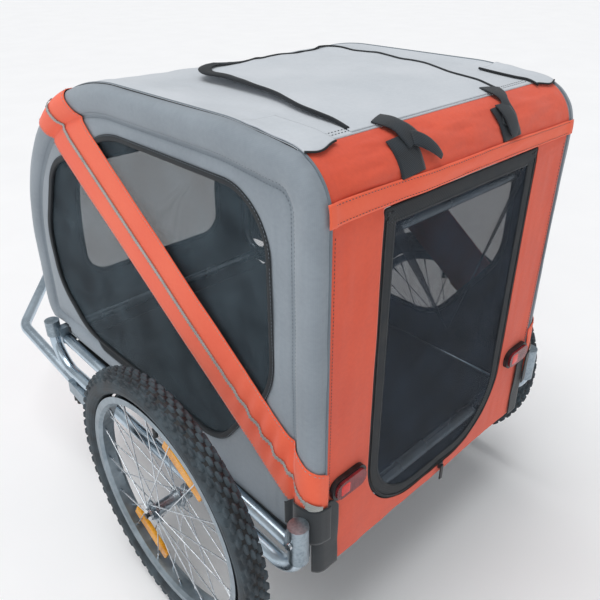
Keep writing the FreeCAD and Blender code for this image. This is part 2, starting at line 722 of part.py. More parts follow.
def rear_band():
    """Bright reflective band across the rear, over the door's top seam."""
    ring = wall_ring(-2.0, 1.7, RING_HALF_W)
    return ring.common(box(-400, 400, -280, -262, 563, 590))


def corner_trim():
    """Dark gusset behind the rear fitting, filling the rear cloth's cut corner."""
    plate = box(-291.5, -264.8, REAR_Y, REAR_Y + 1.4, SKIRT_Z, 125.6)
    return plate


FRONT_HALF_W = 190.0
FRONT_WINDOW_LOW = 150.0
FRONT_WINDOW_HIGH = 430.0


def front_panel():
    """Nose cloth with a window opening."""
    ring = wall_ring(0, CLOTH, RING_HALF_W)
    keep = box(-400, 400, ROOF_FRONT_Y + 0.2, 620, 60, 700)
    low = box(-400, 400, 300, 541, 60, HOOP_FRONT_Z)
    panel = ring.common(keep).cut(low)
    window = box(-FRONT_HALF_W, FRONT_HALF_W, 450, 620, FRONT_WINDOW_LOW, FRONT_WINDOW_HIGH)
    return panel.cut(window)


def front_mesh():
    """Mesh behind the nose window."""
    ring = wall_ring(CLOTH + 0.3, 1.5, FRONT_HALF_W + 12)
    keep = box(-400, 400, 440, 620, FRONT_WINDOW_LOW - 12, FRONT_WINDOW_HIGH + 12)
    return ring.common(keep)


# ---- rain flap and its straps ------------------------------------------------------
FLAP_HALF_W = 176.0
FLAP_ROOT = V(0, -209, 650.5)
FLAP_KNEE = V(0, -104, 660.3)
FLAP_FRONT_Y = 162.0
FLAP_THICK = 2.4


def flap_root():
    """First length of the rain flap, sewn to the roof's rear seam."""
    lift = V(0, 0, FLAP_THICK)
    end = FLAP_KNEE.sub(V(0, 0.6, 0))
    corners = [FLAP_ROOT, end, end.add(lift), FLAP_ROOT.add(lift)]
    return slab(Part.Face(Part.makePolygon(corners + corners[:1])), -FLAP_HALF_W, FLAP_HALF_W)


def flap_sheet():
    """Rest of the rain flap, folded back over the roof."""
    sheet = box(-FLAP_HALF_W, FLAP_HALF_W, FLAP_KNEE.y, FLAP_FRONT_Y, FLAP_KNEE.z, FLAP_KNEE.z + FLAP_THICK)
    upright = [edge for edge in sheet.Edges
               if abs(edge.BoundBox.ZLength - FLAP_THICK) < 0.1 and edge.CenterOfMass.y > 100]
    return sheet.makeFillet(35, upright)


STRAPS_X = (-129.0, 106.0)
STRAP_HALF_W = 18.0


def strap(centre_x):
    """Hook-and-loop strap from the roof's rear seam down to the rear band."""
    ring = wall_ring(-2.4, 1.8, RING_HALF_W)
    keep = box(centre_x - STRAP_HALF_W, centre_x + STRAP_HALF_W, -280, -213, 591, 660)
    return ring.common(keep)


# ---- small rear fittings --------------------------------------------------------------
REFLECTOR_X = 236.0
REFLECTOR_Z = 146.0


def reflector_case():
    """Oval black case of a rear reflector."""
    case = box(-REFLECTOR_X - 36, -REFLECTOR_X + 36, REAR_Y - 8, REAR_Y - 0.3, REFLECTOR_Z - 19, REFLECTOR_Z + 19)
    upright = [edge for edge in case.Edges if edge.BoundBox.YLength > 7]
    return case.makeFillet(16, upright)


def reflector_lens():
    """Red lens standing out of the case."""
    lens = box(-REFLECTOR_X - 32, -REFLECTOR_X + 32, REAR_Y - 12.5, REAR_Y - 8.1, REFLECTOR_Z - 15, REFLECTOR_Z + 15)
    upright = [edge for edge in lens.Edges if edge.BoundBox.YLength > 4]
    return lens.makeFillet(13, upright)


ZIP_X = 20.0
ZIP_Z = 4.0


def zip_slider():
    """Zip slider at the foot of the door."""
    slider = box(ZIP_X - 5, ZIP_X + 5, REAR_Y - 5, REAR_Y - 0.4, ZIP_Z - 4, ZIP_Z + 8)
    tongue = box(ZIP_X - 5, ZIP_X + 5, REAR_Y - 0.4, REAR_Y + 0.4, ZIP_Z + 5, ZIP_Z + 8)
    return fused([slider, tongue])


def zip_pull():
    """Pull tab hanging from the slider."""
    tab = box(ZIP_X - 4, ZIP_X + 4, REAR_Y - 8.2, REAR_Y - 5.4, ZIP_Z - 30, ZIP_Z + 3)
    return tab.makeFillet(1, tab.Edges)


# ---- export ------------------------------------------------------------------------------
def paired(maker):
    """Left and right copies of a piece as one node."""
    return group([maker(), mirrored(maker())])


SIDE_PIECES = {
    "lower_tube": lower_tube, "hoop": hoop, "side_panel": side_panel, "side_band": side_band,
    "tyre": tyre, "inner_tube": inner_tube, "rim": rim, "spokes": spokes, "hub": hub_shell,
    "bearings": bearings, "release_button": release_button,
    "spoke_reflectors": spoke_reflectors, "valve": valve,
}
PAIRED_PIECES = {
    "floor_rails": floor_rail, "rear_brackets": rear_bracket, "front_brackets": front_bracket,
    "axle_sleeves": axle_sleeve, "axles": axle, "window_meshes": window_mesh,
    "corner_trims": corner_trim, "reflector_cases": reflector_case,
    "reflector_lenses": reflector_lens,
}
SINGLE_PIECES = {
    "axle_cross_tube": axle_cross_tube, "bracket_bolts": bracket_bolts,
    "floor_panel": floor_panel, "arm_receiver": arm_receiver,
    "arm_pivot_bolt": arm_pivot_bolt, "tow_arm": tow_arm, "clamp_knob": clamp_knob,
    "hitch_swivel": hitch_swivel, "hitch_pin": hitch_pin, "hitch_tongue": hitch_tongue,
    "roof_panel": roof_panel, "rear_panel": rear_panel, "front_panel": front_panel,
    "front_mesh": front_mesh, "rear_band": rear_band, "rear_door": rear_door,
    "zip_slider": zip_slider, "zip_pull": zip_pull, "rain_flap_root": flap_root,
    "rain_flap": flap_sheet,
}


def build():
    """Every node of the trailer by name."""
    nodes = {name: maker() for name, maker in SINGLE_PIECES.items()}
    for piece, maker in SIDE_PIECES.items():
        for side, sign in SIDES:
            nodes[side + "_" + piece] = on_pair(maker, sign)
    for name, maker in PAIRED_PIECES.items():
        nodes[name] = paired(maker)
    nodes["rear_cross_tube"] = cross_tube(HOOP_REAR_Y, 60)
    nodes["front_cross_tube"] = cross_tube(526, HOOP_FRONT_Z)
    nodes["roof_bars"] = group([roof_bar(y, z) for y, z, _ in BAR_PLACES])
    clips = []
    for y, z, along in BAR_PLACES:
        clip = bar_clip(y, z, along)
        clips.extend([clip, mirrored(clip)])
    nodes["bar_clips"] = group(clips)
    nodes["hold_straps"] = group([strap(x) for x in STRAPS_X])
    return nodes


def main():
    """Build, place and export every node."""
    os.makedirs("parts", exist_ok=True)
    whole = FreeCAD.BoundBox()
    for name, shape in build().items():
        shape.translate(TO_ROW)
        whole.add(shape.optimalBoundingBox(True, False))
        shape.exportStep("parts/" + name + ".step")
        print(name, "valid" if shape.isValid() else "NOT VALID", len(shape.Solids), round(shape.Volume))
    print("box", [round(value, 2) for value in (whole.XMin, whole.XMax, whole.YMin, whole.YMax,
                                               whole.ZMin, whole.ZMax)])


main()
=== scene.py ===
"""Two-wheeled bicycle trailer for a dog: a soft cabin on a tube frame, spoked wheels, cranked arm.

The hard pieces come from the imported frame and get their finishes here.  The cloth, the tyres and
the sewn details are surfaces worked out with numpy.  Lengths are metres, measured from the middle
of the wheel axle inside the classes, and every mesh is moved to the row frame as it is made.
"""
import logging
import math
from dataclasses import dataclass, field
from enum import Enum
from typing import Callable, Optional

import bmesh
import bpy
import numpy as np
from mathutils import Matrix, Vector


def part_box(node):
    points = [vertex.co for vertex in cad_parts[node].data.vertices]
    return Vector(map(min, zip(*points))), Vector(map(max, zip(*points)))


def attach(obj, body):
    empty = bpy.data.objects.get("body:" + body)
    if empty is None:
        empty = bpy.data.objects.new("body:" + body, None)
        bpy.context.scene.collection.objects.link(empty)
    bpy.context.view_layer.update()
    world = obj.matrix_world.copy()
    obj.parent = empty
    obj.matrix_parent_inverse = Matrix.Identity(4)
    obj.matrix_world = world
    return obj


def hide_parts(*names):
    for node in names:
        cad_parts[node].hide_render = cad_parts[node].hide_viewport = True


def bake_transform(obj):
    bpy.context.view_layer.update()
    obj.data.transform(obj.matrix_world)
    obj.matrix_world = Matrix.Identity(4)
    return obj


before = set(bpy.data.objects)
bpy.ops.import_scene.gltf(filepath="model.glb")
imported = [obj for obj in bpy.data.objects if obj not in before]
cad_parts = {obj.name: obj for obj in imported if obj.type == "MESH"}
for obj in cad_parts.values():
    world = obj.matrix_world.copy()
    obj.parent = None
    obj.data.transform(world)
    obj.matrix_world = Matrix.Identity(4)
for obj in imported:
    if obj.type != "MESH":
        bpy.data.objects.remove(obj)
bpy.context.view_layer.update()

LOG = logging.getLogger("trailer")
Array = np.ndarray
Tree, Node, Socket = bpy.types.NodeTree, bpy.types.Node, bpy.types.NodeSocket
Piece = bpy.types.Object
TAU = 2.0 * math.pi


def node_centre(node: str) -> Array:
    """Middle of a node's box at rest, in the row frame."""
    low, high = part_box(node)
    return (np.array(low) + np.array(high)) / 2.0


AXLE = node_centre("axle_cross_tube") * np.array([0.0, 1.0, 1.0])
SIDES = (("left", -1.0), ("right", 1.0))
BEHIND_CLOTH = -0.0052  # lift of a window's mesh, just inside its folded tape


# ---- lines and fields --------------------------------------------------------------------
def unit(vectors: Array) -> Array:
    """Vectors divided by their lengths, along the last axis."""
    return vectors / np.maximum(np.linalg.norm(vectors, axis=-1, keepdims=True), 1e-12)


def smooth_step(low: float, high: float, values: Array) -> Array:
    """Zero below low, one above high, and the cubic 3t^2 - 2t^3 between."""
    t = np.clip((values - low) / (high - low), 0.0, 1.0)
    return t * t * (3.0 - 2.0 * t)


def hump(values: Array, centre: float, width: float) -> Array:
    """Bell curve of height one about centre."""
    return np.exp(-(((values - centre) / width) ** 2))


def filled(line: Array, step: float, closed: bool = False) -> Array:
    """Add points on a line's long runs.

    Args:
        line: points, one a row.
        step: longest run to leave, in metres.
        closed: whether the last point joins the first.

    Returns:
        The points with each long run divided evenly, every given point kept.
    """
    ends = np.vstack([line, line[:1]]) if closed else line
    runs = []
    for start, end in zip(ends[:-1], ends[1:]):
        count = max(1, int(math.ceil(np.linalg.norm(end - start) / step)))
        share = np.arange(count)[:, None] / count
        runs.append(start + (end - start) * share)
    if not closed:
        runs.append(ends[-1:])
    return np.vstack(runs)


def rounded_line(corners: list, radii: list, step: float = 0.004, closed: bool = False) -> Array:
    """Straight runs joined by tangent arcs.

    An arc of radius r at a corner whose half angle is h starts r / tan(h) from the corner, about
    a centre that lies r / sin(h) along the bisector.

    Args:
        corners: points, each a pair or a triple.
        radii: one radius per corner, or per inner corner of an open line; 0 leaves it sharp.
        step: distance between points, in metres.
        closed: whether the line closes on itself.

    Returns:
        The points of the line.
    """
    points = np.asarray(corners, float)
    count = len(points)
    inner = range(count) if closed else range(1, count - 1)
    parts = [] if closed else [points[:1]]
    for place, index in enumerate(inner):
        corner, radius = points[index], radii[place]
        if radius <= 0.0:
            parts.append(corner[None])
            continue
        back = unit(points[index - 1] - corner)
        ahead = unit(points[(index + 1) % count] - corner)
        half = 0.5 * math.acos(float(np.clip(back @ ahead, -1.0, 1.0)))
        centre = corner + unit(back + ahead) * radius / math.sin(half)
        first = corner + back * radius / math.tan(half) - centre
        last = corner + ahead * radius / math.tan(half) - centre
        sweep = math.pi - 2.0 * half
        share = np.linspace(0.0, 1.0, max(3, int(sweep * radius / step) + 2))[:, None]
        arc = np.sin((1.0 - share) * sweep) * first + np.sin(share * sweep) * last
        parts.append(centre + arc / math.sin(sweep))
    if not closed:
        parts.append(points[-1:])
    return filled(np.vstack(parts), step, closed)


def softened(line: Array, rounds: int = 3, closed: bool = False) -> Array:
    """Corner cutting: each run gives its quarter points, which tends to a quadratic spline.

    Args:
        line: points, one a row.
        rounds: how often to cut.
        closed: whether the line closes on itself.

    Returns:
        The softened points.
    """
    for _ in range(rounds):
        ahead = np.roll(line, -1, axis=0)
        cut = np.stack([0.75 * line + 0.25 * ahead, 0.25 * line + 0.75 * ahead], axis=1)
        if closed:
            line = cut.reshape(-1, line.shape[1])
        else:
            line = np.vstack([line[:1], cut[:-1].reshape(-1, line.shape[1]), line[-1:]])
    return line


def arc_lengths(line: Array) -> Array:
    """Distance along a line at each of its points."""
    return np.concatenate([[0.0], np.cumsum(np.linalg.norm(np.diff(line, axis=0), axis=1))])


def resampled(line: Array, count: int) -> Array:
    """Spread points evenly along an open line.

    Args:
        line: points, one a row.
        count: how many to give.

    Returns:
        The points.
    """
    lengths = arc_lengths(line)
    at = np.linspace(0.0, lengths[-1], count)
    return np.stack([np.interp(at, lengths, column) for column in line.T], axis=1)


def outward_2d(curve: Array) -> Array:
    """Unit normals of a closed flat curve, pointing away from its middle.

    Args:
        curve: points, one a row.

    Returns:
        One normal a point.
    """
    along = np.roll(curve, -1, axis=0) - np.roll(curve, 1, axis=0)
    normal = unit(np.stack([along[:, 1], -along[:, 0]], axis=1))
    facing = np.sum(normal * (curve - curve.mean(axis=0)))
    return normal if facing > 0 else -normal


def flat_area(curve: Array) -> float:
    """Area inside a closed flat curve, by the shoelace sum."""
    ahead = np.roll(curve, -1, axis=0)
    return 0.5 * abs(float(np.sum(curve[:, 0] * ahead[:, 1] - curve[:, 1] * ahead[:, 0])))


def fanned(curve: Array, middle: Array, rows: int, first: float = 0.04) -> tuple:
    """Rows of places from a middle point out to a closed curve, each row the curve made smaller.

    Args:
        curve: points of the closed curve.
        middle: the point that all rows shrink to.
        rows: how many rows lie outside the middle.
        first: size of the innermost row, as a share of the curve's.

    Returns:
        The places, and each row's share of the way out.
    """
    share = np.concatenate([[0.0], np.linspace(first, 1.0, rows)])[:, None, None]
    return middle + share * (curve[None] - middle), share[..., 0]


@dataclass(frozen=True)
class Rumple:
    """Repeatable soft creases: lattice values joined by cubic steps, summed over octaves."""

    seed: int
    cells: int = 64

    def once(self, u: Array, v: Array) -> Array:
        """Value noise: lattice values joined by cubic steps.

        Args:
            u, v: lattice coordinates.

        Returns:
            Values from -1 to 1.
        """
        table = np.random.default_rng(self.seed).uniform(-1.0, 1.0, (self.cells, self.cells))
        column, row = np.floor(u).astype(int), np.floor(v).astype(int)
        fu, fv = u - column, v - row
        fu, fv = fu * fu * (3 - 2 * fu), fv * fv * (3 - 2 * fv)
        c0, c1 = column % self.cells, (column + 1) % self.cells
        r0, r1 = row % self.cells, (row + 1) % self.cells
        low = table[r0, c0] * (1 - fu) + table[r0, c1] * fu
        high = table[r1, c0] * (1 - fu) + table[r1, c1] * fu
        return low * (1 - fv) + high * fv

    def creases(self, u: Array, v: Array, size_u: float, size_v: float, octaves: int = 3) -> Array:
        """Sum of octaves, each half the size and 0.55 the height of the last.

        Args:
            u, v: places on the cloth, in metres.
            size_u, size_v: size of the largest crease each way, in metres.
            octaves: how many sizes to add.

        Returns:
            Heights of about -1 to 1.
        """
        total = np.zeros(np.broadcast(u, v).shape)
        height, scale = 1.0, 1.0
        for octave in range(octaves):
            total += height * self.once(u / size_u * scale + 7.3 * octave, v / size_v * scale + 3.1 * octave)
            height *= 0.55
            scale *= 2.0
        return total / 1.6


# ---- materials ---------------------------------------------------------------------------
def linear(code: str) -> tuple:
    """Linear RGBA of an sRGB hex colour."""
    channels = [int(code[i:i + 2], 16) / 255.0 for i in (1, 3, 5)]
    return tuple(c / 12.92 if c <= 0.04045 else ((c + 0.055) / 1.055) ** 2.4 for c in channels) + (1.0,)


def feed(tree: Tree, node: Node, inputs: dict) -> None:
    """Set a node's inputs.

    Args:
        tree: the tree that holds the node.
        node: the node.
        inputs: input name or number to a value, or to the output socket that feeds it.
    """
    for name, value in inputs.items():
        if isinstance(value, Socket):
            tree.links.new(value, node.inputs[name])
        else:
            node.inputs[name].default_value = value


def add_node(tree: Tree, kind: str, inputs: Optional[dict] = None, out: object = 0, stops: tuple = (),
             **settings: str) -> Socket:
    """Add a shader node.

    Args:
        tree: the material's node tree.
        kind: node type after "ShaderNode".
        inputs: as feed takes them.
        out: name or number of the output to give back.
        stops: (position, sRGB hex) pairs of a colour band.
        settings: attributes to set on the node.

    Returns:
        The output socket.
    """
    node = tree.nodes.new("ShaderNode" + kind)
    for name, value in settings.items():
        setattr(node, name, value)
    feed(tree, node, inputs or {})
    for number, (position, code) in enumerate(stops):
        node.color_ramp.elements[number].position = position
        node.color_ramp.elements[number].color = linear(code)
    return node.outputs[out]


def wave_scale(pitch: float) -> float:
    """Scale that makes a Wave texture repeat every pitch metres."""
    return TAU / (20.0 * pitch)


@dataclass(frozen=True)
class Finish:
    """A material, made once when it is first asked for, with the two ends of its tone."""

    name: str
    light: str
    dark: str

    def tones(self, low: float, high: float) -> tuple:
        """Stops of the tone's colour band: dark up to low, light from high."""
        return (low, self.dark), (high, self.light)

    def material(self) -> bpy.types.Material:
        """Find the material, or make it.

        Returns:
            The Blender material of this finish.
        """
        found = bpy.data.materials.get(self.name)
        if found:
            return found
        made = bpy.data.materials.new(self.name)
        made.use_nodes = True
        self.dress(made.node_tree, made.node_tree.nodes["Principled BSDF"])
        return made

    def dress(self, tree: Tree, shader: Node) -> None:
        """Add this finish's nodes.

        Args:
            tree: the material's node tree.
            shader: its shader.
        """
        raise NotImplementedError


@dataclass(frozen=True)
class CoatedCloth(Finish):
    """Plain-weave polyester with a coated back: a faint thread grid, soft sheen, dusty patches.

    The real thread pitch is about 0.4 mm; it is drawn at grid_pitch so that it still shows."""

    grid_pitch: float = 0.0016
    roughness: float = 0.72
    sheen: float = 0.25
    weave_depth: float = 0.00012
    rumple_depth: float = 0.0012

    def dress(self, tree: Tree, shader: Node) -> None:
        """Thread grid from two crossed waves, tone from wide and fine noise.

        Args:
            tree: the material's node tree.
            shader: its shader.
        """
        place = add_node(tree, "TexCoord", out="UV")
        wave = {"Vector": place, "Scale": wave_scale(self.grid_pitch), "Distortion": 0.4}
        warp, weft = (add_node(tree, "TexWave", wave, "Fac", bands_direction=way) for way in "XY")
        threads = add_node(tree, "Math", {0: warp, 1: weft}, operation="MULTIPLY")
        wide = add_node(tree, "TexNoise", {"Vector": place, "Scale": 7.0, "Detail": 3.0}, "Fac")
        fine = add_node(tree, "TexNoise", {"Vector": place, "Scale": 160.0, "Detail": 2.0}, "Fac")
        tone = add_node(tree, "Math", {0: fine, 1: 0.35, 2: wide}, operation="MULTIPLY_ADD")
        shade = add_node(tree, "Math", {0: threads, 1: 0.12, 2: tone}, operation="MULTIPLY_ADD")
        soft = add_node(tree, "TexNoise", {"Vector": place, "Scale": 22.0, "Detail": 2.0, "Distortion": 0.6},
                        "Fac")
        rumple = add_node(tree, "Bump", {"Height": soft, "Strength": 0.5, "Distance": self.rumple_depth})
        feed(tree, shader, {
            "Base Color": add_node(tree, "ValToRGB", {0: shade}, stops=self.tones(0.38, 0.9)),
            "Roughness": add_node(tree, "MapRange", {0: tone, 1: 0.3, 2: 1.0, 3: self.roughness - 0.08,
                                                     4: self.roughness + 0.1}),
            "Normal": add_node(tree, "Bump", {"Height": threads, "Strength": 0.6,
                                              "Distance": self.weave_depth, "Normal": rumple}),
            "Sheen Weight": self.sheen, "Sheen Roughness": 0.5})


@dataclass(frozen=True)
class RibbedTape(Finish):
    """Woven tape or webbing: fine ribs across its run, satin, edges slightly worn."""

    rib_pitch: float = 0.0022
    roughness: float = 0.6
    sheen: float = 0.2

    def dress(self, tree: Tree, shader: Node) -> None:
        """Slanting ribs in tone and bump, wear from wide noise.

        Args:
            tree: the material's node tree.
            shader: its shader.
        """
        place = add_node(tree, "TexCoord", out="UV")
        wave = {"Vector": place, "Scale": wave_scale(self.rib_pitch), "Distortion": 0.8, "Detail": 1.0}
        ribs = add_node(tree, "TexWave", wave, "Fac", bands_direction="DIAGONAL")
        wear = add_node(tree, "TexNoise", {"Vector": place, "Scale": 45.0, "Detail": 3.0}, "Fac")
        tone = add_node(tree, "Math", {0: ribs, 1: 0.25, 2: wear}, operation="MULTIPLY_ADD")
        feed(tree, shader, {
            "Base Color": add_node(tree, "ValToRGB", {0: tone}, stops=self.tones(0.35, 0.85)),
            "Roughness": add_node(tree, "MapRange", {0: wear, 1: 0.3, 2: 0.8, 3: self.roughness - 0.08,
                                                     4: self.roughness + 0.1}),
            "Normal": add_node(tree, "Bump", {"Height": ribs, "Strength": 0.7, "Distance": 0.0003}),
            "Sheen Weight": self.sheen})


@dataclass(frozen=True)
class KnittedMesh(Finish):
    """Knitted polyester screen: dark threads round small holes, seen through as a grey veil.

    The real holes are about 1 mm; they are drawn at 2.4 mm so that they still show."""

    cover: float = 0.6
    hole_pitch: float = 0.0024

    def dress(self, tree: Tree, shader: Node) -> None:
        """Opacity dips in each hole of a crossed wave grid.

        Args:
            tree: the material's node tree.
            shader: its shader.
        """
        place = add_node(tree, "TexCoord", out="UV")
        wave = {"Vector": place, "Scale": wave_scale(self.hole_pitch)}
        along, across = (add_node(tree, "TexWave", wave, "Fac", bands_direction=way) for way in "XY")
        holes = add_node(tree, "Math", {0: along, 1: across}, operation="MULTIPLY")
        wide = add_node(tree, "TexNoise", {"Vector": place, "Scale": 14.0, "Detail": 2.0}, "Fac")
        feed(tree, shader, {
            "Base Color": add_node(tree, "ValToRGB", {0: wide}, stops=self.tones(0.3, 0.7)),
            "Alpha": add_node(tree, "MapRange", {0: holes, 1: 0.0, 2: 1.0, 3: min(1.0, self.cover + 0.1),
                                                 4: self.cover - 0.28}),
            "Normal": add_node(tree, "Bump", {"Height": holes, "Strength": 0.5, "Distance": 0.0003}),
            "Roughness": 0.7, "Specular IOR Level": 0.2, "Sheen Weight": 0.05})


@dataclass(frozen=True)
class PlatedSteel(Finish):
    """Zinc-plated or galvanised steel: bright, streaked along its run, dull spots and scratches."""

    roughness: float = 0.3
    metallic: float = 1.0
    spangle: float = 35.0

    def dress(self, tree: Tree, shader: Node) -> None:
        """Cell pattern for the zinc, stretched noise for the draw marks.

        Args:
            tree: the material's node tree.
            shader: its shader.
        """
        place = add_node(tree, "TexCoord", out="Object")
        cells = add_node(tree, "TexVoronoi", {"Vector": place, "Scale": self.spangle * 6.0}, "Distance")
        cloud = add_node(tree, "TexNoise", {"Vector": place, "Scale": self.spangle, "Detail": 5.0}, "Fac")
        stretch = add_node(tree, "Mapping", {"Vector": place, "Scale": (300.0, 12.0, 300.0)})
        marks = add_node(tree, "TexNoise", {"Vector": stretch, "Scale": 1.0, "Detail": 2.0}, "Fac")
        tone = add_node(tree, "Math", {0: cells, 1: 0.3, 2: cloud}, operation="MULTIPLY_ADD")
        feed(tree, shader, {
            "Base Color": add_node(tree, "ValToRGB", {0: tone}, stops=self.tones(0.35, 0.8)),
            "Roughness": add_node(tree, "MapRange", {0: cloud, 1: 0.3, 2: 0.75, 3: self.roughness - 0.08,
                                                     4: self.roughness + 0.16}),
            "Normal": add_node(tree, "Bump", {"Height": marks, "Strength": 0.25, "Distance": 0.0002}),
            "Metallic": self.metallic})


@dataclass(frozen=True)
class MouldedRubber(Finish):
    """Vulcanised rubber: matt, greyed in wide patches by road dust, faint mould grain; on the tyre the bluish
    light tone is also a painted sky highlight on the knobs.
    """

    roughness: float = 0.68

    def dress(self, tree: Tree, shader: Node) -> None:
        """Dust, and on the tyre a painted highlight, from wide noise; grain from fine noise.

        Args:
            tree: the material's node tree.
            shader: its shader.
        """
        place = add_node(tree, "TexCoord", out="Object")
        dust_and_highlight = add_node(tree, "TexNoise", {"Vector": place, "Scale": 26.0, "Detail": 6.0}, "Fac")
        grain = add_node(tree, "TexNoise", {"Vector": place, "Scale": 900.0, "Detail": 2.0}, "Fac")
        feed(tree, shader, {
            "Base Color": add_node(tree, "ValToRGB", {0: dust_and_highlight}, stops=self.tones(0.35, 0.72)),
            "Roughness": add_node(tree, "MapRange", {0: dust_and_highlight, 1: 0.3, 2: 0.8, 3: self.roughness - 0.14,
                                                     4: self.roughness + 0.12}),
            "Normal": add_node(tree, "Bump", {"Height": grain, "Strength": 0.4, "Distance": 0.0003})})


@dataclass(frozen=True)
class MouldedPlastic(Finish):
    """Moulded ABS: fine spark-eroded texture and a low, even gloss."""

    roughness: float = 0.45

    def dress(self, tree: Tree, shader: Node) -> None:
        """Faint scuffs in the tone, fine cells in the bump.

        Args:
            tree: the material's node tree.
            shader: its shader.
        """
        place = add_node(tree, "TexCoord", out="Object")
        scuff = add_node(tree, "TexNoise", {"Vector": place, "Scale": 60.0, "Detail": 5.0}, "Fac")
        grain = add_node(tree, "TexVoronoi", {"Vector": place, "Scale": 1400.0}, "Distance")
        feed(tree, shader, {
            "Base Color": add_node(tree, "ValToRGB", {0: scuff}, stops=self.tones(0.4, 0.75)),
            "Roughness": add_node(tree, "MapRange", {0: scuff, 1: 0.3, 2: 0.8, 3: self.roughness - 0.08,
                                                     4: self.roughness + 0.12}),
            "Normal": add_node(tree, "Bump", {"Height": grain, "Strength": 0.3, "Distance": 0.0002})})


@dataclass(frozen=True)
class PrismLens(Finish):
    """Moulded acrylic reflector: glossy skin over rows of prisms, brighter where they catch light."""

    cell: float = 0.004

    def dress(self, tree: Tree, shader: Node) -> None:
        """Cells of the prism grid in tone and bump, under a clear coat.

        Args:
            tree: the material's node tree.
            shader: its shader.
        """
        place = add_node(tree, "TexCoord", out="Object")
        cells = add_node(tree, "TexVoronoi", {"Vector": place, "Scale": 1.0 / self.cell, "Randomness": 0.15},
                         "Distance", feature="F1", distance="CHEBYCHEV")
        cloud = add_node(tree, "TexNoise", {"Vector": place, "Scale": 40.0, "Detail": 2.0}, "Fac")
        tone = add_node(tree, "Math", {0: cells, 1: 0.9, 2: cloud}, operation="MULTIPLY_ADD")
        feed(tree, shader, {
            "Base Color": add_node(tree, "ValToRGB", {0: tone}, stops=self.tones(0.5, 1.1)),
            "Normal": add_node(tree, "Bump", {"Height": cells, "Strength": 0.6, "Distance": 0.0008}),
            "Roughness": 0.18, "Specular IOR Level": 0.3, "Coat Weight": 0.15, "Coat Roughness": 0.05})


class Look(Enum):
    """The finishes of this trailer."""

    PIPING = CoatedCloth("grey_piping_cloth", "#78838c", "#626d76")
    GREY_CLOTH = CoatedCloth("grey_coated_polyester", "#949ea7", "#808a93")
    ROOF_CLOTH = CoatedCloth("pale_grey_coated_polyester", "#d2d7dd", "#c1c8cf")
    ORANGE_CLOTH = CoatedCloth("orange_coated_polyester", "#ee5b39", "#d8492c")
    BAND_CLOTH = CoatedCloth("bright_orange_band_cloth", "#ff704c", "#fa5d39", sheen=0.2)
    BLACK_CLOTH = CoatedCloth("black_coated_polyester", "#222a30", "#13181c", roughness=0.7)
    LINING = CoatedCloth("maroon_coated_back", "#6b2f28", "#4a201c")
    MESH = KnittedMesh("knitted_polyester_mesh", "#4c5c66", "#2d3942")
    DOOR_MESH = KnittedMesh("dense_door_mesh", "#2a3746", "#161f29", 0.66)
    BINDING = RibbedTape("black_binding_tape", "#1c242b", "#0d1216", roughness=0.7, sheen=0.05)
    WEBBING = RibbedTape("black_webbing", "#1f2a33", "#0f151b", 0.0016, 0.6, 0.15)
    REFLECTIVE = RibbedTape("woven_reflective_tape", "#b0b2ae", "#8d8f8b", 0.0018, 0.35, 0.1)
    THREAD_PALE = RibbedTape("pale_sewing_thread", "#c6cacd", "#9aa0a4", 0.0008, 0.6, 0.1)
    THREAD_DARK = RibbedTape("dark_sewing_thread", "#5b636a", "#3b4147", 0.0008, 0.6, 0.1)
    THREAD_GREY = RibbedTape("grey_sewing_thread", "#87919a", "#727c85", 0.0008, 0.6, 0.1)
    FRAME_STEEL = PlatedSteel("bright_zinc_tube", "#c3d2dd", "#aabac7", 0.24, 1.0, 12.0)
    BRACKET_STEEL = PlatedSteel("galvanised_pressed_steel", "#a2afb8", "#76838c", 0.36, 1.0, 40.0)
    BOLT_STEEL = PlatedSteel("bright_zinc_bolt", "#d6dade", "#9aa1a7", 0.22)
    SPOKE_WIRE = PlatedSteel("drawn_spoke_wire", "#dfe4e8", "#a3abb2", 0.2)
    RIM_ALLOY = PlatedSteel("satin_rim_alloy", "#9aa6ae", "#76838c", 0.34, 1.0, 14.0)
    HUB_STEEL = PlatedSteel("plated_hub_steel", "#a7b0b7", "#69737b", 0.32)
    # light tone is a bluish grey: partly road dust, partly painted sky highlight on the knobs
    TYRE = MouldedRubber("knobbly_tyre_rubber", "#4a575f", "#20282e")
    TUBE = MouldedRubber("butyl_rubber", "#2a2c2e", "#141516")
    PLASTIC = MouldedPlastic("moulded_black_plastic", "#33373b", "#16181a")
    AMBER = PrismLens("amber_reflector_acrylic", "#f2aa2c", "#c4780f")
    RED = PrismLens("dark_red_reflector_acrylic", "#96343a", "#4a1418")
    # bright red cell: painted highlight where each rear reflector lens catches the light
    RED_LENS_HIGHLIGHT = PrismLens("painted_red_lens_highlight", "#ff3b30", "#c81e1a", 0.003)

    def material(self) -> bpy.types.Material:
        """The Blender material of this look."""
        return self.value.material()


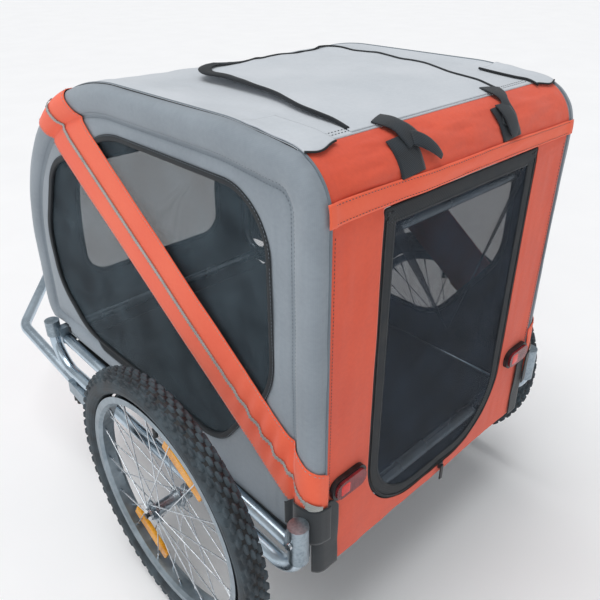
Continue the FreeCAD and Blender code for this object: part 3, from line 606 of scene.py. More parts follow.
# ---- meshes ------------------------------------------------------------------------------
@dataclass
class Sheet:
    """Mesh gathered from grids of points, then made into one Blender object."""

    name: str
    vertices: list = field(default_factory=list)
    quads: list = field(default_factory=list)
    loops_uv: list = field(default_factory=list)
    inner: list = field(default_factory=list)
    total: int = 0

    def join(self, other: "Sheet") -> None:
        """Take in another sheet's grids.

        Args:
            other: the other sheet.
        """
        self.vertices.extend(other.vertices)
        self.quads.extend(quads + self.total for quads in other.quads)
        self.loops_uv.extend(other.loops_uv)
        self.inner.extend(other.inner)
        self.total += other.total

    def add_grid(self, points: Array, uv: Array, wrap_rows: bool = False, wrap_columns: bool = False,
                 outward: Optional[Array] = None, inner_from: int = 10 ** 6) -> None:
        """Add a grid of quads.

        Args:
            points: rows by columns by 3, from the axle.
            uv: rows by columns by 2, in metres, with one more row or column where that way wraps.
            wrap_rows: whether the last row joins the first.
            wrap_columns: whether the last column joins the first.
            outward: rows by columns by 3 directions that faces should look; without it the grid
                is closed and its signed volume says which way is out.
            inner_from: first row of the inner face, which may have a lining's finish.
        """
        rows, columns = points.shape[:2]
        index = np.arange(rows * columns).reshape(rows, columns)
        down = np.roll(index, -1, axis=0)
        right = np.roll(index, -1, axis=1)
        across = np.roll(down, -1, axis=1)
        quads = np.stack([index, right, across, down], axis=-1)
        quads = quads[:rows if wrap_rows else rows - 1, :columns if wrap_columns else columns - 1]
        wide = np.pad(uv, ((0, rows + 1 - uv.shape[0]), (0, columns + 1 - uv.shape[1]), (0, 0)), mode="edge")
        corner_uv = np.stack([wide[:-1, :-1], wide[:-1, 1:], wide[1:, 1:], wide[1:, :-1]], axis=2)
        corner_uv = corner_uv[:quads.shape[0], :quads.shape[1]].reshape(-1, 4, 2)
        inside = np.repeat(np.arange(quads.shape[0]) >= inner_from, quads.shape[1])
        quads = quads.reshape(-1, 4)
        flat = points.reshape(-1, 3)
        a, b, c, d = (flat[quads[:, i]] for i in range(4))
        normal = np.cross(c - a, d - b)
        if outward is None:
            middle = flat.mean(axis=0)
            facing = float(np.sum(normal * ((a + b + c + d) / 4.0 - middle)))
        else:
            facing = float(np.sum(normal * outward.reshape(-1, 3)[quads[:, 0]]))
        if facing < 0:
            quads = quads[:, ::-1]
            corner_uv = corner_uv[:, ::-1]
        self.vertices.append(flat)
        self.quads.append(quads + self.total)
        self.loops_uv.append(corner_uv.reshape(-1, 2))
        self.inner.append(inside)
        self.total += len(flat)

    def build(self, look: Look, body: str, replaces: tuple = (), slot: Optional[str] = None,
              lining: Optional[Look] = None) -> Piece:
        """Make the object, ride it on its body and give it its finish.

        Args:
            look: the finish.
            body: name of the body that it moves with; empty for one that rides on none.
            replaces: CAD nodes that it stands for.
            slot: not used.
            lining: the finish of the inner face, where it has its own.

        Returns:
            The object, at the origin, with its place in its mesh.
        """
        points = np.vstack(self.vertices) + AXLE
        quads = np.vstack(self.quads)
        mesh = bpy.data.meshes.new(self.name)
        mesh.vertices.add(len(points))
        mesh.vertices.foreach_set("co", points.astype(np.float32).ravel())
        mesh.loops.add(quads.size)
        mesh.loops.foreach_set("vertex_index", quads.astype(np.int32).ravel())
        mesh.polygons.add(len(quads))
        mesh.polygons.foreach_set("loop_start", np.arange(0, quads.size, 4, dtype=np.int32))
        mesh.update(calc_edges=True)
        layer = mesh.uv_layers.new(name="cloth")
        layer.data.foreach_set("uv", np.vstack(self.loops_uv).astype(np.float32).ravel())
        mesh.polygons.foreach_set("material_index", np.concatenate(self.inner).astype(np.int32)
                                  * (1 if lining else 0))
        weld = 1e-6  # points nearer than this are joined, which closes seams and poles
        work = bmesh.new()
        work.from_mesh(mesh)
        bmesh.ops.remove_doubles(work, verts=work.verts, dist=weld)
        bmesh.ops.dissolve_degenerate(work, edges=work.edges, dist=weld)
        work.to_mesh(mesh)
        work.free()
        mesh.polygons.foreach_set("use_smooth", np.ones(len(mesh.polygons), bool))
        mesh.materials.append(look.material())
        if lining:
            mesh.materials.append(lining.material())
        piece = bpy.data.objects.new(self.name, mesh)
        bpy.context.scene.collection.objects.link(piece)
        if body:
            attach(piece, body)
        if replaces:
            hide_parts(*replaces)
        LOG.info("%s: %d faces", self.name, len(mesh.polygons))
        return piece


def doubled(outer: Array, inner: Array) -> Array:
    """Rows of the outer face, then the inner face's rows backwards: a closed wall of cloth."""
    return np.concatenate([outer, inner[::-1]], axis=0)


def pinched(wall: Array) -> Array:
    """A wall's grid with both end columns drawn together, which closes it."""
    middle = 0.5 * (wall + wall[::-1])
    return np.concatenate([middle[:, :1], wall, middle[:, -1:]], axis=1)


def stopped(points: Array) -> Array:
    """An open tape's grid with both its ends drawn to their middles, which closes them."""
    ends = np.broadcast_to(points.mean(axis=0, keepdims=True), points.shape)
    return np.concatenate([ends[:, :1], points, ends[:, -1:]], axis=1)


def tube_grid(path: Array, radius: Array, sides: int, reference: Array) -> Array:
    """Round section carried along a path.

    The section lies in the plane of two directions square to the path: the path's direction
    crossed with the reference, and that crossed with the path's direction again.

    Args:
        path: points, one a row.
        radius: radius at each point, or one for all.
        sides: points round the section.
        reference: a direction that the path never runs along.

    Returns:
        Grid of points, one row per path point.
    """
    along = unit(np.gradient(path, axis=0))
    side = unit(np.cross(along, reference))
    up = np.cross(side, along)
    turn = np.arange(sides) / sides * TAU
    radius = np.broadcast_to(radius, (len(path),))[:, None, None]
    ring = np.cos(turn)[None, :, None] * side[:, None] + np.sin(turn)[None, :, None] * up[:, None]
    return path[:, None] + radius * ring


def capped(grid: Array) -> Array:
    """A tube's grid with its end rows drawn to points, which closes the ends."""
    return np.concatenate([np.broadcast_to(grid[:1].mean(axis=1, keepdims=True), grid[:1].shape), grid,
                           np.broadcast_to(grid[-1:].mean(axis=1, keepdims=True), grid[:1].shape)])


# ---- the cabin's shape ---------------------------------------------------------------------
@dataclass
class Cabin:
    """Outline of the cabin and the two ways that cloth lies on it."""

    half_width: float = 0.2965
    rear: float = -0.271
    nose: float = 0.602
    roof: float = 0.655
    skirt: float = -0.013
    chin: float = 0.065
    roof_fall: float = 0.01737
    roof_break: float = -0.100
    edge_radius: float = 0.016
    sleeve_width: float = 0.046
    radii: tuple = (0.073, 0.4, 0.430, 0.064)

    def __post_init__(self) -> None:
        """Work out the outline's points, normals and distances."""
        corners = [(self.rear, self.skirt), (self.rear, self.roof - self.roof_fall),
                   (self.roof_break, self.roof), (self.nose, self.roof), (self.nose, self.chin),
                   (self.nose - self.chin - 0.010, self.chin)]
        line = rounded_line(corners, list(self.radii), 0.004)
        self.line = resampled(line, 620)
        self.lengths = arc_lengths(self.line)
        along = unit(np.gradient(self.line, axis=0))
        self.normals = np.stack([-along[:, 1], along[:, 0]], axis=1)

    def at_height(self, height: float) -> float:
        """Distance along the outline where the rear wall is at a height."""
        return height - self.skirt

    def on_roof(self, forward: float) -> float:
        """Distance along the outline where the roof is at a forward place."""
        top = self.line[:, 1] > 0.5
        return float(np.interp(forward, self.line[top, 0], self.lengths[top]))

    def on_nose(self, height: float) -> float:
        """Distance along the outline where the nose is at a height."""
        front = (self.line[:, 0] > 0.3) & (self.lengths < self.lengths[-1] - 0.012)
        return float(np.interp(-height, -self.line[front, 1], self.lengths[front]))

    def along(self, distance: Array) -> tuple:
        """Look up the outline.

        Args:
            distance: distances along it.

        Returns:
            Points, and unit normals that point out of the cabin.
        """
        point = np.stack([np.interp(distance, self.lengths, self.line[:, i]) for i in (0, 1)], axis=-1)
        normal = np.stack([np.interp(distance, self.lengths, self.normals[:, i]) for i in (0, 1)], axis=-1)
        return point, unit(normal)

    def nearest(self, flat: Array) -> tuple:
        """Nearest place on the outline.

        Args:
            flat: (forward, up) points.

        Returns:
            The foot on the outline, its normal, and the depth inside the outline.
        """
        shape = flat.shape[:-1]
        points = flat.reshape(-1, 2)
        feet = np.empty_like(points)
        normals = np.empty_like(points)
        coarse = self.line[::2]
        for start in range(0, len(points), 4096):
            part = points[start:start + 4096]
            gap = part[:, None] - coarse[None]
            best = np.argmin(np.sum(gap * gap, axis=2), axis=1) * 2
            slack = np.sum((part - self.line[best]) * np.stack(
                [self.normals[best][:, 1], -self.normals[best][:, 0]], axis=1), axis=1)
            foot, normal = self.along(self.lengths[best] + slack)
            feet[start:start + 4096] = foot
            normals[start:start + 4096] = normal
        depth = -np.sum((points - feet) * normals, axis=1)
        return feet.reshape(shape + (2,)), normals.reshape(shape + (2,)), depth.reshape(shape)

    def padding(self, depth: Array) -> Array:
        """Stand-out of the side cloth: a swell over the hoop, a sewn groove, then a soft panel.

        Args:
            depth: distances inside the outline.

        Returns:
            Heights off the flat wall.
        """
        swell = 0.0070 * np.sin(np.pi * np.clip((depth + 0.004) / (self.sleeve_width + 0.004), 0, 1)) ** 0.8
        groove = -0.0036 * hump(depth, self.sleeve_width, 0.0055)
        panel = 0.0018 * smooth_step(self.sleeve_width + 0.004, self.sleeve_width + 0.03, depth)
        return swell + groove + panel


class Chart:
    """A way of laying flat cloth on the cabin: pairs of flat coordinates to points in space."""

    def place(self, flat: Array, lift: Array) -> Array:
        """Points in space, from the axle, at a lift off the cabin's surface."""
        raise NotImplementedError

    def outward(self, flat: Array, lift: Array) -> Array:
        """Direction that the cloth's outer face looks."""
        return unit(self.place(flat, lift + 0.001) - self.place(flat, lift))

    def strip(self, flat: Array, lift: Array, thickness: float) -> tuple:
        """Closed wall between two lifts.

        Args:
            flat: grid of flat places.
            lift: lift of the outer face.
            thickness: thickness of the cloth, inwards.

        Returns:
            The wall, and its UVs.
        """
        lift = np.broadcast_to(lift, flat.shape[:-1])
        wall = doubled(self.place(flat, lift), self.place(flat, lift - thickness))
        return wall, doubled(flat, flat)

    def patch(self, name: str, flat: Array, lift: Array, thickness: float) -> Sheet:
        """Sheet with two free ends and two free sides, closed all round.

        Args:
            name: name of the piece.
            flat, lift, thickness: as strip takes them.

        Returns:
            The sheet.
        """
        wall, uv = self.strip(flat, lift, thickness)
        sheet = Sheet(name)
        sheet.add_grid(pinched(wall), pinched(uv), wrap_rows=True, inner_from=flat.shape[0])
        return sheet

    def ring(self, name: str, flat: Array, lift: Array, thickness: float) -> Sheet:
        """Sheet whose columns close on themselves, round a hole or a border.

        Args:
            name: name of the piece.
            flat, lift, thickness: as strip takes them.

        Returns:
            The sheet.
        """
        wall, uv = self.strip(flat, lift, thickness)
        sheet = Sheet(name)
        uv = np.concatenate([uv, uv[:, :1]], axis=1)
        uv = np.concatenate([uv, uv[:1]], axis=0)
        sheet.add_grid(wall, uv, wrap_rows=True, wrap_columns=True, inner_from=flat.shape[0])
        return sheet

    def screen(self, name: str, flat: Array, lift: Array) -> Sheet:
        """Single layer over a closed curve, for see-through mesh.

        Args:
            name: name of the piece.
            flat, lift: as place takes them.

        Returns:
            The sheet.
        """
        points = self.place(flat, lift)
        sheet = Sheet(name)
        uv = np.concatenate([flat, flat[:, :1]], axis=1)
        sheet.add_grid(points, uv, wrap_columns=True, outward=self.outward(flat, lift))
        return sheet

    def binding(self, name: str, curve: Array, away: Array, profile: Array, closed: bool = True) -> Sheet:
        """Tape folded over an edge.

        Args:
            name: the piece's name.
            curve: flat points of the edge.
            away: flat unit directions from the edge into the cloth.
            profile: closed section as (into the cloth, lift) pairs.
            closed: whether the edge closes on itself.

        Returns:
            The sheet.
        """
        flat = curve[None] + away[None] * profile[:, 0][:, None, None]
        lift = np.broadcast_to(profile[:, 1][:, None], flat.shape[:-1])
        points = self.place(flat, lift)
        round_it = arc_lengths(np.vstack([profile, profile[:1]]))[:, None]
        run = arc_lengths(np.vstack([curve, curve[:1]]) if closed else curve)[None]
        uv = np.stack(np.broadcast_arrays(run, round_it), axis=-1)
        sheet = Sheet(name)
        if closed:
            sheet.add_grid(points, uv, wrap_rows=True, wrap_columns=True)
        else:
            uv = np.concatenate([uv[:, :1], uv, uv[:, -1:]], axis=1)
            sheet.add_grid(stopped(points), uv, wrap_rows=True)
        return sheet

    def stitches(self, sheet: Sheet, curve: Array, lift: Callable, pitch: float = 0.0055) -> None:
        """Sewn stitches along a curve, each a small spindle of six points.

        Args:
            sheet: the sheet that gathers them.
            curve: flat points, one a row.
            lift: function of flat points that gives the cloth's lift there.
            pitch: distance from one stitch to the next.
        """
        lengths = arc_lengths(curve)
        middles = np.arange(pitch, lengths[-1] - pitch, pitch)
        reach, thick, proud = 0.36 * pitch, 0.0006, 0.0003
        spots = [np.stack([np.interp(middles + shift, lengths, curve[:, i]) for i in (0, 1)], axis=-1)
                 for shift in (-reach, 0.0, reach)]
        start, centre, end = (self.place(flat, lift(flat) + proud) for flat in spots)
        up = self.outward(spots[1], lift(spots[1]))
        side = np.cross(unit(end - start), up)
        ring = [centre + thick * side, centre + thick * up, centre - thick * side, centre - thick * up]
        rows = np.stack([np.stack([start] * 4, axis=1), np.stack(ring, axis=1), np.stack([end] * 4, axis=1)],
                        axis=1)
        for stitch in rows:
            sheet.add_grid(stitch, np.zeros((4, 5, 2)), wrap_columns=True)


@dataclass
class SideChart(Chart):
    """Side wall: flat places are (forward, up), and past the outline the cloth rolls over the hoop."""

    cabin: Cabin
    sign: float

    def place(self, flat: Array, lift: Array) -> Array:
        """The flat wall, then a quarter round of the edge radius about a line inside the outline.

        Args:
            flat: (forward, up) places.
            lift: lift off the wall.

        Returns:
            Points in space, from the axle.
        """
        cabin = self.cabin
        radius = cabin.edge_radius
        foot, normal, depth = cabin.nearest(flat)
        total = lift + cabin.padding(depth)
        turn = np.clip((radius - depth) / radius, 0.0, np.pi / 2)
        past = np.maximum(radius - depth - radius * np.pi / 2, 0.0)
        across = cabin.half_width - radius + (radius + total) * np.cos(turn) - past
        rolled = foot - radius * normal + ((radius + total) * np.sin(turn))[..., None] * normal
        flat_part = (depth >= radius)[..., None]
        return np.concatenate([(self.sign * across)[..., None], np.where(flat_part, flat, rolled)], axis=-1)


@dataclass
class RingChart(Chart):
    """Rear, roof and nose: flat places are (across, distance along the outline)."""

    cabin: Cabin

    def place(self, flat: Array, lift: Array) -> Array:
        """The outline carried across, a quarter round of the edge radius, then down the side.

        Args:
            flat: (across, distance) places.
            lift: lift off the outline.

        Returns:
            Points in space, from the axle.
        """
        cabin = self.cabin
        radius = cabin.edge_radius
        across, distance = flat[..., 0], flat[..., 1]
        point, normal = cabin.along(distance)
        reach = np.abs(across) - (cabin.half_width - radius)
        turn = np.clip(reach / radius, 0.0, np.pi / 2)
        level = np.minimum(np.abs(across), cabin.half_width - radius) + (radius + lift) * np.sin(turn)
        height = (radius + lift) * np.cos(turn) - radius - np.maximum(reach - radius * np.pi / 2, 0.0)
        outline = point + height[..., None] * normal
        return np.concatenate([(np.sign(across) * level)[..., None], outline], axis=-1)


def spread(inner: Array, outer: Array, rows: int) -> Array:
    """Straight rows from one curve to another, point to point."""
    share = np.linspace(0.0, 1.0, rows)[:, None, None]
    return inner[None] * (1.0 - share) + outer[None] * share


def facing_hole(hole: Array, outer: Array, centre: tuple) -> Array:
    """Point of the hole's edge on the line from the centre to each point of the outer curve.

    Args:
        hole: closed curve.
        outer: the curve round it.
        centre: a point inside both.

    Returns:
        One point for each point of the outer curve.
    """
    middle = np.asarray(centre)
    angle = np.arctan2(hole[:, 1] - middle[1], hole[:, 0] - middle[0])
    radius = np.hypot(hole[:, 0] - middle[0], hole[:, 1] - middle[1])
    order = np.argsort(angle)
    want = np.arctan2(outer[:, 1] - middle[1], outer[:, 0] - middle[0])
    found = np.interp(want, angle[order], radius[order], period=TAU)
    return middle + found[:, None] * np.stack([np.cos(want), np.sin(want)], axis=1)


def tape_section(width: float, lift: float = 0.0016, wall: float = 0.0012, back: float = -0.0048) -> Array:
    """Closed section of a tape folded over an edge, as (into the cloth, lift) pairs."""
    corners = [(width, lift - wall), (width, lift), (width * 0.6, lift + 0.0005), (0.0, lift + 0.0002),
               (-0.0022, lift * 0.4), (-0.0022, back * 0.7), (0.0, back), (width * 0.7, back),
               (width * 0.7, back + wall), (0.0012, back + wall), (-0.0006, -0.001), (0.002, 0.0)]
    return softened(np.array(corners), 2, closed=True)


# ---- sides of the cabin ------------------------------------------------------------------
@dataclass
class SideWall:
    """Grey side wall: padded sheet rolled over the hoop, bound window with mesh, diagonal band."""

    cabin: Cabin
    side: str
    sign: float
    window_corners: tuple = ((-0.180, 0.578), (0.190, 0.579), (0.425, 0.480), (0.505, 0.325),
                             (0.498, 0.205), (0.390, 0.112), (-0.040, 0.112), (-0.181, 0.300))
    window_radii: tuple = (0.080, 0.200, 0.120, 0.150, 0.100, 0.150, 0.100, 0.150)
    middle: tuple = (0.165, 0.345)
    notch_rear: tuple = (-0.227, 0.119)
    notch_front: tuple = (0.503, 0.098)
    hem_height: float = 0.034
    cloth: float = 0.003
    tape_width: float = 0.008

    def __post_init__(self) -> None:
        """Chart and outlines of this side."""
        self.chart = SideChart(self.cabin, self.sign)
        self.window = rounded_line(list(self.window_corners), list(self.window_radii), 0.006, closed=True)
        self.seed = 11 if self.sign < 0 else 29

    def border(self) -> Array:
        """Closed outer edge of the sheet: past the outline on top, notched at the corner fittings.

        Returns:
            Its (forward, up) points.
        """
        cabin = self.cabin
        first, last = cabin.at_height(self.notch_rear[1]), cabin.on_nose(self.notch_front[1])
        distance = np.linspace(first, last, 380)
        point, normal = cabin.along(distance)
        top = point + 0.012 * normal
        hem = [(self.notch_front[0], self.notch_front[1]), (self.notch_front[0], self.hem_height),
               (self.notch_rear[0], self.hem_height), self.notch_rear]
        return np.vstack([top, filled(np.vstack([top[-1:], np.array(hem), top[:1]]), 0.006)[1:-1]])

    def creases(self, flat: Array) -> Array:
        """Lift of the wall's wrinkles: fine upright ones near the rear, broad soft ones elsewhere.

        Args:
            flat: (forward, up) places.

        Returns:
            The lift at each place.
        """
        forward, up = flat[..., 0], flat[..., 1]
        rumple = Rumple(self.seed)
        broad = 0.0016 * rumple.creases(forward, up, 0.16, 0.12)
        upright = 0.0012 * rumple.creases(forward, up, 0.012, 0.15, 2)
        rear = 1.0 - smooth_step(-0.19, -0.12, forward)
        return broad + upright * rear

    def wall(self) -> None:
        """The padded sheet."""
        border = self.border()
        hole = facing_hole(self.window, border, self.middle)
        flat = spread(hole, border, 64)
        sheet = self.chart.ring(f"{self.side}_side_cloth", flat, self.creases(flat), self.cloth)
        piece = sheet.build(Look.GREY_CLOTH, "chassis", (f"{self.side}_side_panel",), "grey_cloth",
                            Look.BLACK_CLOTH)
        area = flat_area(border) - flat_area(self.window)
        self.edging()
        self.seams()

    def edging(self) -> Piece:
        """Black tape round the window and along the hem.

        Returns:
            The tape.
        """
        away = outward_2d(self.window)
        tape = self.chart.binding(f"{self.side}_window_binding", self.window, away,
                                  tape_section(self.tape_width))
        corners = [(-0.2275, 0.114), (-0.2275, self.hem_height), (self.notch_front[0], self.hem_height),
                   (self.notch_front[0], 0.094)]
        hem = rounded_line(corners, [0.006, 0.006], 0.006)
        run = unit(np.gradient(hem, axis=0))
        into = np.stack([-run[:, 1], run[:, 0]], axis=1)
        low = self.chart.binding("hem", hem, into, tape_section(0.010), closed=False)
        tape.join(low)
        return tape.build(Look.BINDING, "chassis", (), "black_cloth")

    def screen(self) -> None:
        """Mesh behind the window, slack by a few millimetres in its middle."""
        grown = self.window + 0.010 * outward_2d(self.window)
        flat, share = fanned(grown, np.array(self.middle), 26)
        ripple = Rumple(self.seed + 3).creases(flat[..., 0], flat[..., 1], 0.10, 0.16)
        slack = 0.004 * (1.0 - share ** 2) + 0.0012 * ripple
        sheet = self.chart.screen(f"{self.side}_window_screen", flat, BEHIND_CLOTH - slack)
        nodes = ("window_meshes",) if self.side == "left" else ()
        piece = sheet.build(Look.MESH, "chassis", nodes, "mesh")
        flat_area(grown)

    def seams(self) -> Piece:
        """Stitches along the sleeve's groove, beside the window tape and up the rear pocket.

        Returns:
            The stitches.
        """
        threads = Sheet(f"{self.side}_side_stitches")
        cabin = self.cabin
        distance = np.linspace(cabin.at_height(0.135), cabin.on_nose(0.12), 400)
        point, normal = cabin.along(distance)
        for inset in (cabin.sleeve_width - 0.004, cabin.sleeve_width + 0.004):
            self.chart.stitches(threads, point - inset * normal, self.creases)
        around = self.window + 0.0065 * outward_2d(self.window)
        closed = np.vstack([around, around[:1]])
        self.chart.stitches(threads, closed, lambda flat: np.full(flat.shape[:-1], 0.0018))
        return threads.build(Look.THREAD_GREY, "chassis")

    def dress(self) -> None:
        """Build every piece of this side."""
        self.wall()
        self.screen()


@dataclass
class DiagonalBand:
    """Bright band from the rear foot to the roof's front, with a woven reflective line."""

    cabin: Cabin
    side: str
    sign: float
    foot_low: tuple = (-0.277, 0.064)
    foot_high: tuple = (-0.285, 0.184)
    head_low: tuple = (0.461, 0.578)
    head_high: tuple = (0.340, 0.645)
    lift: float = 0.0032
    cloth: float = 0.0014
    gather_height: float = 0.0021
    gather_pitch: float = 0.040
    line_lift: float = 0.0024
    patch_lift: float = 0.0030
    stitch_lift: float = 0.0020

    def __post_init__(self) -> None:
        """Chart of this side."""
        self.chart = SideChart(self.cabin, self.sign)

    def flat(self, along: Array, across: Array) -> Array:
        """Places on a four-cornered strip, straight along its length.

        Args:
            along: shares, 0 at the foot and 1 at the head.
            across: shares, -1 at the lower edge and 1 at the upper.

        Returns:
            (forward, up) places.
        """
        share = (0.5 + 0.5 * across)[..., None]
        foot = np.array(self.foot_low) * (1 - share) + np.array(self.foot_high) * share
        head = np.array(self.head_low) * (1 - share) + np.array(self.head_high) * share
        return foot * (1 - along[..., None]) + head * along[..., None]

    def height(self, along: Array, across: Array) -> Array:
        """Lift: slack ripples, and gathers that deepen towards the foot.

        Args:
            along, across: shares, as flat takes them.

        Returns:
            The lift at each place.
        """
        rumple = Rumple(41 if self.sign < 0 else 43)
        ripple = 0.0010 * rumple.creases(along, across, 0.11, 1.6, 2)
        fade = (1.0 - smooth_step(0.12, 0.36, along)) * smooth_step(0.03, 0.12, along)
        beat = np.sin(TAU * along / self.gather_pitch + 1.8 * across)
        gather = self.gather_height * fade * beat * (1.1 - across ** 2)
        belly = 0.0012 * (1.0 - across ** 2)
        return self.lift + ripple + gather + belly

    def piece(self, name: str, low: float, high: float, begin: float, end: float, extra: float,
              look: Look, replaces: tuple, slot: str) -> Piece:
        """A strip of the band.

        Args:
            name: name of the piece.
            low, high: shares across where it ends.
            begin, end: shares along where it ends.
            extra: lift above the band; 0 for the band itself.
            look: its finish.
            replaces: CAD nodes that it stands for.
            slot: handed on to Sheet.build.

        Returns:
            The strip.
        """
        rows = np.linspace(low, high, max(5, int(30 * (high - low))))
        columns = np.linspace(begin, end, 260)
        across, along = np.meshgrid(rows, columns, indexing="ij")
        flat = self.flat(along, across)
        lift = self.height(along, across) + extra
        sheet = self.chart.patch(name, flat, lift, self.cloth if extra == 0.0 else 0.0008)
        return sheet.build(look, "chassis", replaces, slot)

    def dress(self) -> None:
        """Band, reflective line, the stitched foot patch and the edge stitches."""
        band = self.piece(f"{self.side}_diagonal_band", -1.0, 1.0, 0.0, 1.0, 0.0, Look.BAND_CLOTH,
                          (f"{self.side}_side_band",), "band_cloth")
        line = self.piece(f"{self.side}_band_line", -0.052, 0.052, 0.012, 0.995, self.line_lift,
                          Look.REFLECTIVE, (), None)
        patch = self.piece(f"{self.side}_band_foot_patch", -0.13, 0.11, 0.012, 0.034, self.patch_lift,
                           Look.REFLECTIVE, (), None)
        threads = Sheet(f"{self.side}_band_stitches")
        for across in (-0.94, 0.94, -0.08, 0.08):
            along = np.linspace(0.01, 0.99, 300)
            shares = np.full(300, across)
            curve = self.flat(along, shares)
            lifts = self.height(along, shares) + (self.stitch_lift if abs(across) < 0.5 else 0.0)
            order = np.argsort(curve[:, 0])
            known, rise = curve[order, 0], lifts[order]
            self.chart.stitches(threads, curve, lambda flat, k=known, r=rise: np.interp(flat[..., 0], k, r))
        sewn = threads.build(Look.THREAD_PALE, "chassis")


# ---- rear, roof and nose -----------------------------------------------------------------
@dataclass
class EndWalls:
    """Cloth that runs up the rear, over the roof and down the nose."""

    cabin: Cabin
    seam_rear: float = -0.216
    seam_front: float = 0.352
    cloth: float = 0.003
    door_half: float = 0.186
    door_top: float = 0.560
    door_foot: float = 0.006
    door_radius: float = 0.130
    gusset_in: float = 0.2645
    gusset_top: float = 0.126
    nose_half: float = 0.190
    nose_low: float = 0.150
    nose_high: float = 0.430
    band_low: float = 0.563
    band_high: float = 0.588
    band_tilt: float = 0.011
    cap_low: float = 0.060
    cap_high: float = 0.130
    cap_lift: float = 0.0085
    patch_in: float = 0.228
    patch_wave: float = 0.004

    def __post_init__(self) -> None:
        """Chart and the distances that the walls share."""
        self.chart = RingChart(self.cabin)
        self.edge = self.cabin.half_width - self.cabin.edge_radius + 0.002
        self.rear_seam = self.cabin.on_roof(self.seam_rear)
        self.front_seam = self.cabin.on_roof(self.seam_front)

    def door_curve(self, grow: float = 0.0) -> Array:
        """Door outline: straight top, wide round lower corners.

        Args:
            grow: how far to move it outwards.

        Returns:
            Its (across, distance) points.
        """
        half, foot = self.door_half + grow, self.cabin.at_height(self.door_foot - grow)
        top = self.cabin.at_height(self.door_top + grow)
        corners = [(half, foot), (half, top), (-half, top), (-half, foot)]
        return rounded_line(corners, [self.door_radius, 0.004, 0.004, self.door_radius], 0.006, closed=True)

    def rear_creases(self, flat: Array) -> Array:
        """Level pull lines under the straps, soft upright waves in the side strips.

        Args:
            flat: (across, distance) places.

        Returns:
            The lift at each place.
        """
        rumple = Rumple(5)
        across, distance = flat[..., 0], flat[..., 1]
        upper = smooth_step(0.52, 0.60, distance)
        near_seam = smooth_step(self.rear_seam - 0.026, self.rear_seam - 0.006, distance)
        level = 0.0034 * rumple.creases(across, distance, 0.10, 0.022, 3)
        upright = 0.0018 * rumple.creases(across, distance, 0.05, 0.20, 3)
        calm = 1.0 - smooth_step(self.edge - 0.030, self.edge - 0.006, np.abs(across))
        tuck = 0.0030 * smooth_step(self.edge - 0.006, self.edge, np.abs(across))
        return (level * upper * (1 - near_seam) + upright * (1 - upper)) * calm - tuck

    def rear_wall(self) -> None:
        """Orange rear cloth with the door opening and the cut-away lower corners."""
        notch = self.cabin.at_height(self.gusset_top)
        corners = np.array([(self.gusset_in, 0.0), (self.gusset_in, notch), (self.edge, notch),
                            (self.edge, self.rear_seam), (-self.edge, self.rear_seam),
                            (-self.edge, notch), (-self.gusset_in, notch), (-self.gusset_in, 0.0)])
        border = filled(corners, 0.006, closed=True)
        hole = facing_hole(self.door_curve(0.0006), border, (0.0, 0.30))
        flat = spread(hole, border, 44)
        sheet = self.chart.ring("rear_cloth", flat, self.rear_creases(flat), self.cloth)
        piece = sheet.build(Look.ORANGE_CLOTH, "chassis", ("rear_panel",), "orange_cloth", Look.LINING)
        area = flat_area(corners) - flat_area(self.door_curve())

    def roof_sag(self, flat: Array) -> Array:
        """Droop between the hoops and bars, with long soft wrinkles.

        Args:
            flat: (across, distance) places.

        Returns:
            The lift at each place.
        """
        across, distance = flat[..., 0], flat[..., 1]
        share = np.clip((distance - self.rear_seam) / (self.front_seam - self.rear_seam), 0, 1)
        droop = -0.007 * (1.0 - (across / self.edge) ** 2) * np.sin(np.pi * share) ** 0.7
        wrinkle = 0.0038 * Rumple(17).creases(across, distance, 0.09, 0.16, 3)
        calm = smooth_step(0.0, 0.03, self.edge - np.abs(across)) * smooth_step(0.0, 0.04, share)
        return droop + wrinkle * calm

    def roof(self) -> None:
        """Pale grey roof cloth."""
        rows = np.linspace(-self.edge, self.edge, 110)
        columns = np.linspace(self.rear_seam - 0.004, self.front_seam, 150)
        across, distance = np.meshgrid(rows, columns, indexing="ij")
        flat = np.stack([across, distance], axis=-1)
        sheet = self.chart.patch("roof_cloth_sheet", flat, self.roof_sag(flat) + 0.0012, self.cloth)
        piece = sheet.build(Look.ROOF_CLOTH, "chassis", ("roof_panel",), "roof_cloth", Look.BLACK_CLOTH)

    def nose_wall(self) -> None:
        """Orange nose cloth with its window opening."""
        low, high = self.cabin.on_nose(self.nose_high), self.cabin.on_nose(self.nose_low)
        end = self.cabin.lengths[-1] - 0.004
        self.nose_curve = rounded_line([(self.nose_half, low), (self.nose_half, high),
                                        (-self.nose_half, high), (-self.nose_half, low)],
                                       [0.05] * 4, 0.006, closed=True)
        corners = np.array([(self.edge, self.front_seam), (self.edge, end), (-self.edge, end),
                            (-self.edge, self.front_seam)])
        border = filled(corners, 0.006, closed=True)
        hole = facing_hole(self.nose_curve, border, (0.0, (low + high) / 2))
        flat = spread(hole, border, 44)
        lift = 0.0018 * Rumple(23).creases(flat[..., 0], flat[..., 1], 0.12, 0.10, 3)
        sheet = self.chart.ring("nose_cloth", flat, lift, self.cloth)
        piece = sheet.build(Look.ORANGE_CLOTH, "chassis", ("front_panel",), "orange_cloth", Look.BLACK_CLOTH)
        area = flat_area(corners) - flat_area(self.nose_curve)
        tape = self.chart.binding("nose_window_binding", self.nose_curve, outward_2d(self.nose_curve),
                                  tape_section(0.014))
        bound = tape.build(Look.BINDING, "chassis", (), "black_cloth")
        grown = self.nose_curve + 0.010 * outward_2d(self.nose_curve)
        spots, share = fanned(grown, grown.mean(axis=0), 22, 0.05)
        lifts = np.broadcast_to(BEHIND_CLOTH - 0.003 * (1 - share ** 2), spots.shape[:-1])
        screen = self.chart.screen("nose_screen", spots, lifts).build(
            Look.MESH, "chassis", ("front_mesh",), "mesh")
        flat_area(grown)

